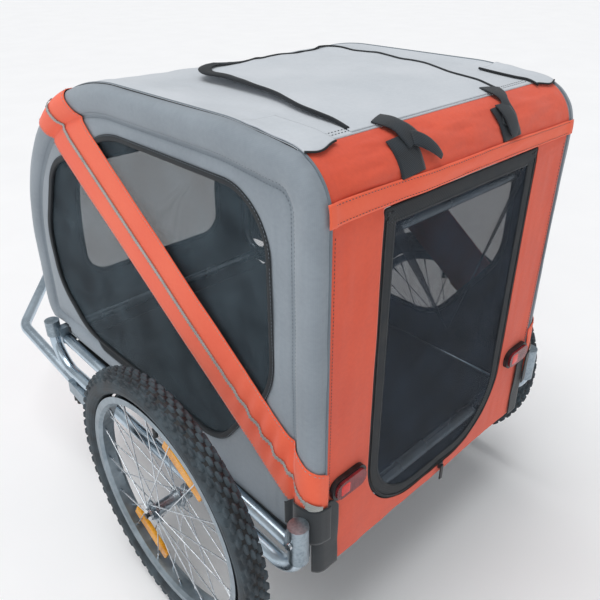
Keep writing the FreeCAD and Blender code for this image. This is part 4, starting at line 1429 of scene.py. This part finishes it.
    def piping(self) -> None:
        """Thin grey cord sewn into both seams between the side walls and the end walls."""
        cords = Sheet("edge_piping")
        distance = np.linspace(self.cabin.at_height(0.128), self.cabin.lengths[-1] - 0.006, 620)
        for _, sign in SIDES:
            flat = np.stack([np.full(620, sign * (self.edge - 0.0025)), distance], axis=1)
            path = self.chart.place(flat, np.full(620, 0.0004))
            grid = capped(tube_grid(path, np.float64(0.0019), 8, np.array([1.0, 0.0, 0.0])))
            run = np.concatenate([[0.0], distance, distance[-1:]])[:, None]
            uv = np.stack(np.broadcast_arrays(run, np.linspace(0, 0.016, 9)[None]), axis=-1)
            cords.add_grid(grid, uv, wrap_columns=True)
        cords.build(Look.PIPING, "chassis", (), "grey_cloth")

    def band_sway(self, across: Array, distance: Array) -> Array:
        """Shift of the band's places along the outline: one slow wave, and a tilt of its top edge.

        Args:
            across: places across the cabin.
            distance: places along the outline, before the shift.

        Returns:
            The shift at each place.
        """
        low, high = self.cabin.at_height(self.band_low), self.cabin.at_height(self.band_high)
        return 0.0008 * np.sin(across * 21.0) - self.band_tilt * across * (distance - low) / (high - low)

    def under_band(self, flat: Array) -> Array:
        """Lift of the rear cloth where the band lies on it."""
        return np.maximum(self.rear_creases(flat), -0.001)

    def rear_band(self) -> None:
        """Bright band over the door's top seam, folded round both corners."""
        low, high = self.cabin.at_height(self.band_low), self.cabin.at_height(self.band_high)
        rows = np.linspace(low, high, 12)
        columns = np.linspace(-self.edge - 0.002, self.edge + 0.002, 200)
        distance, across = np.meshgrid(rows, columns, indexing="ij")
        flat = np.stack([across, distance + self.band_sway(across, distance)], axis=-1)
        edge = smooth_step(0.266, 0.284, np.abs(across))
        lift = self.under_band(flat) + 0.0030 + 0.0028 * edge
        lift = lift + 0.0006 * Rumple(31).creases(across, distance, 0.05, 0.03, 2)
        sheet = self.chart.patch("rear_band_strip", flat, lift, 0.0014)
        piece = sheet.build(Look.BAND_CLOTH, "chassis", ("rear_band",), "band_cloth")
        threads = Sheet("rear_stitches")
        for place in (low + 0.003, high - 0.003):
            line = np.stack([np.linspace(-0.278, 0.278, 200), np.full(200, place)], axis=1)
            line[:, 1] += self.band_sway(line[:, 0], line[:, 1])
            self.chart.stitches(threads, line, lambda flat: self.under_band(flat) + 0.0034)
        for side in (-1, 1):
            line = np.stack([np.full(100, side * (self.edge - 0.010)),
                             np.linspace(self.cabin.at_height(0.14), low - 0.01, 100)], axis=1)
            self.chart.stitches(threads, line, self.rear_creases)
        threads.build(Look.THREAD_DARK, "chassis")

    def roof_edges(self) -> None:
        """Corner patches at the roof's rear and the hem where the roof laps the rear cloth."""
        for side, sign in SIDES:
            rows = np.linspace(self.patch_in, self.edge - 0.001, 28)
            columns = np.linspace(self.rear_seam - 0.014, self.rear_seam + 0.095, 44)
            across, distance = np.meshgrid(rows, columns, indexing="ij")
            wavy = self.patch_wave * np.sin(across * 90.0) * (1 - smooth_step(0, 0.03, distance - columns[0]))
            flat = np.stack([sign * across, distance + wavy], axis=-1)
            lift = self.roof_sag(flat) + 0.0042 + 0.001 * Rumple(37).creases(across, distance, 0.03, 0.03, 2)
            patch = self.chart.patch(f"{side}_roof_patch", flat, lift, 0.0018).build(
                Look.ROOF_CLOTH, "chassis", (), "roof_cloth")
            rear = np.stack([sign * rows, columns[0] + self.patch_wave * np.sin(rows * 90.0)], axis=1)
            forward = np.linspace(columns[0], columns[-1], 60)
            run = np.stack([np.full(60, sign * self.patch_in), forward], axis=1)
            # The black cord along each patch's wavy rear edge is a painted shadow line under the lapped edge;
            # the right patch's cord along its inner edge is real piping.
            cord = Sheet(f"{side}_patch_piping_and_shadow_line")
            piping_and_shadow_lines = [(rear, 0.0014, (0.0, 0.0, 1.0))]
            if side == "right":
                piping_and_shadow_lines.append((run, 0.0019, (1.0, 0.0, 0.0)))
            for edge, radius, square in piping_and_shadow_lines:
                path = self.chart.place(edge, self.roof_sag(edge) + 0.0040)
                grid = capped(tube_grid(path, np.float64(radius), 8, np.array(square)))
                cord.add_grid(grid, np.zeros((grid.shape[0], 9, 2)), wrap_columns=True)
            piping_and_shadow_cords = cord.build(Look.BINDING, "chassis", (), "black_cloth")
        line = np.stack([np.linspace(-0.23, 0.23, 200), np.full(200, self.rear_seam)], axis=1)
        threads = Sheet("roof_stitches")
        for inset in (0.004, 0.010):
            shifted = line + np.array([0.0, inset])
            self.chart.stitches(threads, shifted, lambda flat: self.roof_sag(flat) + 0.0014)
        threads.build(Look.THREAD_DARK, "chassis")

    def gussets(self) -> None:
        """Black cloth gussets behind the corner fittings."""
        notch = self.cabin.at_height(self.gusset_top)
        sheet = Sheet("corner_gussets")
        for _, sign in SIDES:
            rows = np.linspace(self.gusset_in - 0.010, self.edge + 0.0175, 30)
            across, share = np.meshgrid(rows, np.linspace(0.0, 1.0, 40), indexing="ij")
            round_off = 0.020 * (1.0 - np.clip((across - rows[0]) / 0.020, 0.0, 1.0)) ** 2
            distance = (notch + 0.006 - round_off) * share
            flat = np.stack([sign * across, distance], axis=-1)
            lift = 0.0038 + 0.0010 * Rumple(47).creases(across, distance, 0.02, 0.05, 2)
            sheet.join(self.chart.patch("gusset", flat, lift, 0.0014))
            cap = SideChart(self.cabin, sign)
            rows, columns = np.linspace(-0.284, -0.210, 40), np.linspace(0.0, 1.0, 16)
            forward, share = np.meshgrid(rows, columns, indexing="ij")
            crest = self.cap_high - 0.024 * np.clip((forward + 0.252) / 0.040, 0.0, 1.0) ** 2
            flat = np.stack([forward, self.cap_low + (crest - self.cap_low) * share], axis=-1)
            sheet.join(cap.patch("cap", flat, self.cap_lift + 0.0008 * np.sin(forward * 150.0), 0.0016))
        piece = sheet.build(Look.BLACK_CLOTH, "chassis", ("corner_trims",), "black_cloth")

    def dress(self) -> None:
        """Build every piece of the end walls."""
        self.rear_wall()
        self.roof()
        self.nose_wall()
        self.piping()
        self.rear_band()
        self.roof_edges()
        self.gussets()


@dataclass
class RearDoor:
    """Mesh door: sewn along its top, bordered with black tape, zipped round the rest."""

    walls: EndWalls
    border: float = 0.024
    lap: float = 0.002
    seam_in: float = 0.021
    coil_in: float = 0.0045
    coil_radius: float = 0.0013
    tooth_pitch: float = 0.0034
    lift: float = -0.0010

    def dress(self) -> None:
        """Screen, border tape, and both halves of the zip."""
        chart = self.walls.chart
        outer = self.walls.door_curve(-0.0008)
        away = outward_2d(outer)
        inner = outer - (self.border - self.lap) * away
        flat, share = fanned(inner, outer.mean(axis=0), 30)
        slack = 0.004 * (1.0 - share ** 2) + 0.001 * Rumple(53).creases(
            flat[..., 0], flat[..., 1], 0.12, 0.12)
        screen = chart.screen("door_screen", flat, self.lift - 0.001 - slack).build(
            Look.DOOR_MESH, "door", ("rear_door",), "mesh")
        rows = spread(outer, outer - self.border * away, 9)
        swell = 0.0008 * np.sin(np.linspace(0, np.pi, 9))[:, None] + 0.0004 * Rumple(59).creases(
            rows[..., 0], rows[..., 1], 0.03, 0.03, 2)
        tape = chart.ring("door_border_tape", rows, self.lift + swell, 0.0016).build(
            Look.BINDING, "door", (), "black_cloth")
        threads = Sheet("door_stitches")
        closed = np.vstack([outer, outer[:1]])
        drawn = closed - self.seam_in * np.vstack([away, away[:1]])
        chart.stitches(threads, drawn, lambda spots: np.full(spots.shape[:-1], self.lift + 0.0006))
        sewn = threads.build(Look.THREAD_DARK, "door")
        coil = self.zip_coil(outer, away)
        flat_area(inner)

    def zip_coil(self, outer: Array, away: Array) -> Piece:
        """Zip coil just inside the door's edge: a flat bead whose height beats with its teeth.

        Args:
            outer: the door's edge.
            away: its normals.

        Returns:
            The bead.
        """
        below = outer[:, 1] < self.walls.cabin.at_height(self.walls.door_top - 0.012)
        shift = -1 - int(np.argmax(~below & np.roll(below, -1)))  # starts the run after the sewn top
        line = np.roll(outer - self.coil_in * away, shift, axis=0)[np.roll(below, shift)]
        fine = resampled(line, 1400)
        beat = 1.0 + 0.35 * np.sin(arc_lengths(fine) * TAU / self.tooth_pitch)
        path = self.walls.chart.place(fine, np.full(len(fine), self.lift + 0.0010))
        grid = capped(tube_grid(path, self.coil_radius * beat, 6, np.array([0.0, 1.0, 0.0])))
        bead = Sheet("zip_coil")
        bead.add_grid(grid, np.zeros((len(fine) + 3, 7, 2)), wrap_columns=True)
        return bead.build(Look.PLASTIC, "door", (), "black_plastic")


@dataclass
class RainFlap:
    """Pale cloth flap folded back on the roof, with a black hem, in one sheet over its knee."""

    walls: EndWalls
    front: float = 0.160
    half: float = 0.164
    corner: float = 0.050
    root: float = -0.2165
    root_lift: float = 0.0026
    lift: float = 0.0085
    knee: float = -0.104

    def __post_init__(self) -> None:
        """Distances along the outline where the flap starts and ends."""
        cabin = self.walls.cabin
        self.start = cabin.on_roof(self.root)
        self.end = cabin.on_roof(self.front)

    def flat(self, along: Array, across: Array) -> Array:
        """Flat places: the front corners are drawn in on a round, and the sides wander.

        Args:
            along: shares, 0 at the seam and 1 at the loose edge.
            across: shares, -1 to 1.

        Returns:
            (across, distance) places.
        """
        distance = self.start + (self.end - self.start) * along
        left = self.end - distance
        drawn = np.clip(1.0 - left / self.corner, 0.0, 1.0)
        half = self.half - self.corner * (1.0 - np.sqrt(np.maximum(1.0 - drawn ** 2, 0.0))) * 0.9
        wander = 0.005 * np.sin(along * 8.5 + 2.6) + 0.002 * np.sin(along * 19.0)
        skew = -0.030 + 0.046 * along
        ripple = 0.004 * np.sin(across * 5.0 + 1.0) * along
        return np.stack([across * half + wander * np.abs(across) + skew, distance + ripple], axis=-1)

    def height(self, along: Array, across: Array) -> Array:
        """Lift over the roof: waves that grow towards the loose edge, which curls up a little.

        Args:
            along, across: shares, as flat takes them.

        Returns:
            The lift at each place.
        """
        rumple = Rumple(61)
        wave = (0.0012 + 0.0030 * along) * rumple.creases(along, across, 0.30, 0.6, 3)
        curl = 0.0035 * along * np.abs(across) ** 4 + 0.003 * smooth_step(0.86, 1.0, along)
        root = smooth_step(0.0, 0.12, along)
        rise = (self.lift - self.root_lift) * root * 0.6
        return self.root_lift + rise + np.maximum(wave, -0.0012) * root + curl * root

    def blend(self, piece: Piece) -> None:
        """Bake a piece's transform into its mesh: the sheet or its hem."""
        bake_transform(piece)

    def dress(self) -> None:
        """Sheet and hem."""
        chart = self.walls.chart
        rows = np.linspace(-1.0, 1.0, 90)
        columns = np.linspace(0.0, 1.0, 150)
        across, along = np.meshgrid(rows, columns, indexing="ij")
        sheet = chart.patch("rain_flap_sheet", self.flat(along, across), self.height(along, across), 0.0016)
        piece = sheet.build(Look.ROOF_CLOTH, "", ("rain_flap", "rain_flap_root"), "roof_cloth")
        self.blend(piece)
        border = np.vstack([np.stack([np.linspace(0.02, 1, 170), np.full(170, -1.0)], 1),
                            np.stack([np.ones(110), np.linspace(-1, 1, 112)[1:-1]], 1),
                            np.stack([np.linspace(1, 0.02, 170), np.full(170, 1.0)], 1)])
        edge = self.flat(border[:, 0], border[:, 1])
        run = unit(np.gradient(edge, axis=0))
        into = np.stack([run[:, 1], -run[:, 0]], axis=1)
        corner = hump(border[:, 0] - border[:, 1], 2.0, 0.30)
        width = 0.0036 + 0.0135 * corner
        section = np.array([(1.0, 0.0006), (1.0, 0.0014), (0.4, 0.0022), (0.0, 0.0022), (-0.25, 0.0006),
                            (-0.25, -0.0018), (0.0, -0.0030), (0.6, -0.0028), (0.6, -0.0020), (0.0, -0.0008)])
        section = softened(section, 2, closed=True)
        flat = edge[None] + into[None] * section[:, :1, None] * width[None, :, None]
        lift = self.height(border[:, 0], border[:, 1])[None] + section[:, 1:2]
        points = chart.place(flat, lift)
        lengths = arc_lengths(edge)
        lengths = np.concatenate([lengths[:1], lengths, lengths[-1:]])
        uv = np.stack(np.broadcast_arrays(lengths[None], np.linspace(0, 0.04, len(section) + 1)[:, None]), -1)
        hem = Sheet("rain_flap_hem")
        hem.add_grid(stopped(points), uv, wrap_rows=True)
        tape = hem.build(Look.BINDING, "", (), "black_cloth")
        self.blend(tape)


@dataclass
class HoldStraps:
    """Two black straps that tie the rolled flap, each with a hook-and-loop patch and a loose end."""

    walls: EndWalls
    places: tuple = (-0.129, 0.106)
    half: float = 0.0175
    patch_half: float = 0.0235
    patch_lift: float = 0.0026
    strap_lift: float = 0.0048
    end_lift: float = 0.0062
    top: float = -0.205
    low: float = 0.594

    def strap(self, name: str, line: Array, half: Array, lift: Array) -> Piece:
        """Flat webbing along a line of (across, distance) points.

        Args:
            name: the piece's name.
            line: flat points down its middle.
            half: half width at each point.
            lift: lift at each point.

        Returns:
            The strap, crowned by half a millimetre.
        """
        run = unit(np.gradient(line, axis=0))
        side = np.stack([-run[:, 1], run[:, 0]], axis=1)
        rows = np.linspace(-1.0, 1.0, 11)
        flat = line[None] + side[None] * (rows[:, None] * half[None])[..., None]
        crown = 0.0006 * (1.0 - rows ** 2)[:, None]
        lifts = lift[None] + crown + 0.0009 * Rumple(67).creases(flat[..., 0], flat[..., 1], 0.05, 0.04, 2)
        sheet = self.walls.chart.patch(name, flat, lifts, 0.0016)
        return sheet.build(Look.WEBBING, "chassis", (), "webbing")

    def dress(self) -> None:
        """Both straps with their patches; the left loose end points aside, the right one hangs."""
        cabin = self.walls.cabin
        top, low = cabin.on_roof(self.top), cabin.at_height(self.low)
        for side, place in zip(("left", "right"), self.places):
            left = side == "left"
            share = np.linspace(0.0, 1.0, 90)
            foot = low + (0.032 if left else 0.012)
            begin, drift = (-0.005, 0.020) if left else (0.019, -0.028)
            line = np.stack([place + begin + drift * share, top + (foot - top) * share], axis=1)
            neck = (0.003 if left else 0.0095) * hump(share, 0.50, 0.20)
            lift = self.strap_lift + 0.0022 * np.sin(np.pi * share) ** 2
            strap = self.strap(f"{side}_hold_strap", line, self.half - neck, lift)
            if left:
                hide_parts("hold_straps")
            share = np.linspace(0.0, 1.0, 50)
            middle = place - (0.006 if left else 0.010)
            tab = np.stack([middle + 0.003 * share, low + 0.046 - 0.050 * share], axis=1)
            patch = self.strap(f"{side}_strap_patch", tab, np.full(50, self.patch_half),
                               np.full(50, self.patch_lift))
            if left:
                end = np.stack([place + 0.012 + 0.038 * share, low + 0.038 - 0.032 * share ** 1.2], axis=1)
                shape, rise = 0.0105 - 0.0070 * share ** 2, self.end_lift + 0.004 * np.sin(share * 2.6)
            else:
                end = np.stack([place - 0.008 - 0.002 * share, low + 0.046 - 0.048 * share], axis=1)
                shape, rise = 0.0145 * np.sqrt(1.02 - share ** 4), self.end_lift + 0.003 * np.sin(share * 2.6)
            loose = self.strap(f"{side}_strap_end", end, shape, rise)
            float(arc_lengths(line)[-1])


# ---- floor, tyres and hardware -----------------------------------------------------------
@dataclass
class FloorCloth:
    """Black floor cloth slung between the rails, sagging a little between them."""

    half: float = 0.302
    sag: float = 0.004
    cloth: float = 0.0035
    laps: tuple = (((0.500, 0.0475), (0.545, 0.0615)), ((-0.264, 0.004), (-0.214, 0.018)))

    def dress(self) -> None:
        """Sheet over the CAD floor's plan, sloping with the rails, and laps that meet the end walls."""
        low, high = (np.array(corner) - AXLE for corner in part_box("floor_panel"))
        rows = np.linspace(-self.half, self.half, 70)
        columns = np.linspace(low[1], high[1], 90)
        across, forward = np.meshgrid(rows, columns, indexing="ij")
        share = (forward - low[1]) / (high[1] - low[1])
        up = low[2] + 0.004 + (high[2] - low[2] - 0.004) * share
        bowl = (1.0 - (across / self.half) ** 2) * np.sin(np.pi * share)
        up = up - self.sag * bowl + 0.001 * Rumple(71).creases(across, forward, 0.1, 0.1, 3) * bowl
        top = np.stack([across, forward, up], axis=-1)
        wall = doubled(top, top - np.array([0.0, 0.0, self.cloth]))
        uv = doubled(top[..., :2], top[..., :2])
        sheet = Sheet("floor_cloth")
        sheet.add_grid(pinched(wall), pinched(uv), wrap_rows=True)
        for start, end in self.laps:
            rows, columns = np.linspace(-0.270, 0.270, 50), np.linspace(0.0, 1.0, 10)
            across, share = np.meshgrid(rows, columns, indexing="ij")
            line = np.array(start) * (1 - share[..., None]) + np.array(end) * share[..., None]
            top = np.concatenate([across[..., None], line], axis=-1)
            top[..., 2] -= 0.003 * np.sin(np.pi * share)
            wall = doubled(top, top - np.array([0.0, 0.0, 0.002]))
            sheet.add_grid(pinched(wall), pinched(doubled(top[..., :2], top[..., :2])), wrap_rows=True)
        piece = sheet.build(Look.BLACK_CLOTH, "chassis", ("floor_panel",), "black_cloth")


@dataclass
class Tyre:
    """Tyre with seven rows of rounded knobs, each row half a pitch from the next."""

    side: str
    sign: float
    outer: float = 0.257
    section: float = 0.0255
    wall: float = 0.0035
    knob_height: float = 0.0052
    knobs: int = 64
    row_turn: float = math.radians(21.0)
    rows: int = 7
    bead_turn: float = math.radians(150.0)
    middle: float = 0.391

    def relief(self, around: Array, over: Array) -> Array:
        """Height of the tread: soft squares, one minus the fourth powers of the place in the cell.

        Args:
            around: turns about the axle, 0 to 1.
            over: angles across the section.

        Returns:
            Height over the casing.
        """
        row = np.round(over / self.row_turn)
        u = np.mod(around * self.knobs + 0.5 * np.mod(row, 2.0), 1.0) - 0.5
        v = over / self.row_turn - row
        square = 1.15 - (u / 0.33) ** 4 - (v / 0.36) ** 4
        inside = np.abs(row) <= (self.rows - 1) / 2
        shoulder = 1.0 - 0.25 * (np.abs(row) == 3)
        ribs = 0.0003 * np.sin(over * 60.0) * (np.abs(over) > self.row_turn * 3.8)
        return self.knob_height * smooth_step(0.0, 1.0, square) * inside * shoulder + ribs

    def dress(self) -> None:
        """Outer skin with its tread and inner skin, turned about the axle."""
        columns = self.knobs * 14
        around = np.arange(columns) / columns
        over = np.linspace(-self.bead_turn, self.bead_turn, 72)
        core = self.outer - self.section
        flank = self.section - self.knob_height + 0.0018 * smooth_step(1.3, 1.9, np.abs(over))
        skin = flank[:, None] + self.relief(around[None], over[:, None])
        inside = np.linspace(self.bead_turn, -self.bead_turn, 14)
        radius = np.concatenate([skin, np.full((14, columns), flank[0] - self.wall)])
        turn = np.concatenate([over, inside])[:, None]
        across = self.sign * self.middle + radius * np.sin(turn)
        reach = core + radius * np.cos(turn)
        angle = (around * TAU)[None]
        points = np.stack([across, reach * np.sin(angle), reach * np.cos(angle)], axis=-1)
        sheet = Sheet(f"{self.side}_tyre_tread")
        sheet.add_grid(points, np.zeros(points.shape[:2] + (2,)), wrap_rows=True, wrap_columns=True)
        sheet.build(Look.TYRE, f"{self.side}_wheel", (f"{self.side}_tyre",), "tyre_rubber")


@dataclass
class Hardware:
    """Finishes of the CAD pieces that show as they are, and a painted highlight on each rear reflector."""

    lens_half: float = 0.032
    highlight_half: float = 0.0115
    highlight_aside: float = 0.0135

    LOOKS = {
        Look.FRAME_STEEL: ("lower_tube", "hoop", "floor_rails", "axle_cross_tube", "tow_arm",
                           "rear_cross_tube", "front_cross_tube", "roof_bars"),
        Look.BRACKET_STEEL: ("rear_brackets", "front_brackets", "axle_sleeves", "arm_receiver",
                             "hitch_swivel", "hitch_tongue"),
        Look.BOLT_STEEL: ("axles", "bracket_bolts", "arm_pivot_bolt", "hitch_pin", "bearings"),
        Look.SPOKE_WIRE: ("spokes",),
        Look.RIM_ALLOY: ("rim",),
        Look.HUB_STEEL: ("hub",),
        Look.TUBE: ("inner_tube",),
        Look.AMBER: ("spoke_reflectors",),
        Look.RED: ("reflector_lenses",),
        Look.PLASTIC: ("release_button", "valve", "clamp_knob", "reflector_cases", "zip_slider",
                       "zip_pull", "bar_clips"),
    }

    def dress(self) -> None:
        """Give each node its finish, on both sides where there are two."""
        for look, names in self.LOOKS.items():
            for name in names:
                for node in (name, f"left_{name}", f"right_{name}"):
                    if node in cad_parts:
                        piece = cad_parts[node]
                        if not piece.material_slots:
                            piece.data.materials.append(look.material())
                        for place in piece.material_slots:
                            place.material = look.material()
                        LOG.info("%s: %s", node, look.value.name)
        self.paint_lens_highlights()

    def paint_lens_highlights(self) -> None:
        """Painted highlight on each rear lens, a bright red square cell: a pillow on a rounded square,
        fourth-power edges.
        """
        low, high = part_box("reflector_lenses")
        half, reach = 0.5 * (high[0] - low[0]), 0.5 * (high[2] - low[2])
        turn = np.linspace(0.0, TAU, 49)[:-1]
        share = np.concatenate([[0.0], np.linspace(0.2, 1.0, 8)])[:, None]
        square = (np.abs(np.cos(turn)) ** 6 + np.abs(np.sin(turn)) ** 6) ** (-1.0 / 6.0)
        sheet = Sheet("painted_lens_highlights")
        for _, sign in SIDES:
            middle = sign * (half - self.lens_half) - self.highlight_aside
            across = middle + share * square * self.highlight_half * np.cos(turn)
            up = 0.5 * (low[2] + high[2]) + share * square * 0.8 * reach * np.sin(turn)
            back = low[1] - 0.0007 + 0.0022 * share ** 6 * np.ones_like(turn)
            points = np.stack([across, back, up], axis=-1) - np.array([0.0, *AXLE[1:]])
            sheet.add_grid(points, np.zeros(points.shape[:2] + (2,)), wrap_columns=True,
                           outward=np.broadcast_to(np.array([0.0, -1.0, 0.0]), points.shape))
        sheet.build(Look.RED_LENS_HIGHLIGHT, "chassis")


# ---- studio ------------------------------------------------------------------------------
@dataclass
class Studio:
    """Pale floor, soft lights and the camera at the rear left."""

    eye: tuple = (-0.7587, -1.2256, 1.1059)
    heading: float = 43.49
    pitch: float = 29.83
    roll: float = -0.32
    lens: float = 38.31
    aim: tuple = (0.0, -0.35, 0.45)
    sky: str = "#f7f9fb"
    sky_strength: float = 0.46
    floor_reach: float = 14.0

    def camera(self) -> None:
        """Camera whose axes come from its heading, its pitch down and its roll."""
        yaw, pitch, roll = (math.radians(v) for v in (self.heading, self.pitch, self.roll))
        forward = Vector((math.sin(yaw) * math.cos(pitch), math.cos(yaw) * math.cos(pitch), -math.sin(pitch)))
        right = Vector((math.cos(yaw), -math.sin(yaw), 0.0))
        up = right.cross(forward)
        turned_right = math.cos(roll) * right + math.sin(roll) * up
        turned_up = -math.sin(roll) * right + math.cos(roll) * up
        data = bpy.data.cameras.new("studio_camera")
        data.lens = self.lens
        data.sensor_width = 36.0
        data.clip_end = 50.0
        camera = bpy.data.objects.new("studio_camera", data)
        axes = Matrix((turned_right, turned_up, -forward)).transposed().to_4x4()
        camera.matrix_world = Matrix.Translation(self.eye) @ axes
        bpy.context.scene.collection.objects.link(camera)
        bpy.context.scene.camera = camera

    def area_light(self, name: str, place: tuple, size: float, power: float, colour: tuple) -> None:
        """Square soft light that looks at the trailer's middle.

        Args:
            name: its name.
            place: where it stands.
            size: its side.
            power: watts.
            colour: its RGB.
        """
        data = bpy.data.lights.new(name, "AREA")
        data.size = size
        data.energy = power
        data.color = colour
        light = bpy.data.objects.new(name, data)
        light.location = place
        light.rotation_euler = (Vector(self.aim) - Vector(place)).to_track_quat("-Z", "Y").to_euler()
        bpy.context.scene.collection.objects.link(light)

    def sky_lamp(self, strength: float, spread: float, lean: tuple) -> None:
        """Very soft overhead sun.

        Args:
            strength: its strength.
            spread: degrees that it spans.
            lean: degrees that it leans about X and Y.
        """
        data = bpy.data.lights.new("overhead_sun", "SUN")
        data.energy = strength
        data.angle = math.radians(spread)
        lamp = bpy.data.objects.new("overhead_sun", data)
        lamp.rotation_euler = (math.radians(lean[0]), math.radians(lean[1]), 0.0)
        bpy.context.scene.collection.objects.link(lamp)

    def surroundings(self) -> None:
        """White sky, and a large pale floor with a faint mottling."""
        world = bpy.data.worlds.new("studio_sky")
        world.use_nodes = True
        world.node_tree.nodes["Background"].inputs[0].default_value = linear(self.sky)
        world.node_tree.nodes["Background"].inputs[1].default_value = self.sky_strength
        bpy.context.scene.world = world
        mesh = bpy.data.meshes.new("studio_floor")
        reach = self.floor_reach
        mesh.from_pydata([(-reach, -reach, 0), (reach, -reach, 0), (reach, reach, 0), (-reach, reach, 0)],
                         [], [(0, 1, 2, 3)])
        floor = bpy.data.objects.new("studio_floor", mesh)
        bpy.context.scene.collection.objects.link(floor)
        material = bpy.data.materials.new("pale_studio_floor")
        material.use_nodes = True
        tree = material.node_tree
        place = add_node(tree, "TexCoord", out="Object")
        cloud = add_node(tree, "TexNoise", {"Vector": place, "Scale": 3.0, "Detail": 3.0}, "Fac")
        colour = add_node(tree, "ValToRGB", {0: cloud}, stops=((0.3, "#fafafb"), (0.7, "#fdfdfe")))
        feed(tree, tree.nodes["Principled BSDF"], {"Base Color": colour, "Roughness": 0.9})
        mesh.materials.append(material)

    def dress(self) -> None:
        """Camera, lights and surroundings."""
        self.camera()
        self.sky_lamp(1.75, 50.0, (-8.0, -14.0))
        self.area_light("side_light", (-3.2, -1.0, 2.4), 2.0, 10.0, (1.0, 0.99, 0.98))
        self.surroundings()
        bpy.context.scene.view_settings.view_transform = "Standard"


def main() -> None:
    """Build the trailer's visible pieces in order."""
    logging.basicConfig(level=logging.INFO, format="%(name)s: %(message)s")
    Studio().dress()
    cabin = Cabin()
    for side, sign in SIDES:
        SideWall(cabin, side, sign).dress()
        DiagonalBand(cabin, side, sign).dress()
    walls = EndWalls(cabin)
    walls.dress()
    RearDoor(walls).dress()
    RainFlap(walls).dress()
    HoldStraps(walls).dress()
    FloorCloth().dress()
    for side, sign in SIDES:
        Tyre(side, sign).dress()
    Hardware().dress()


if __name__ == "__main__":
    main()
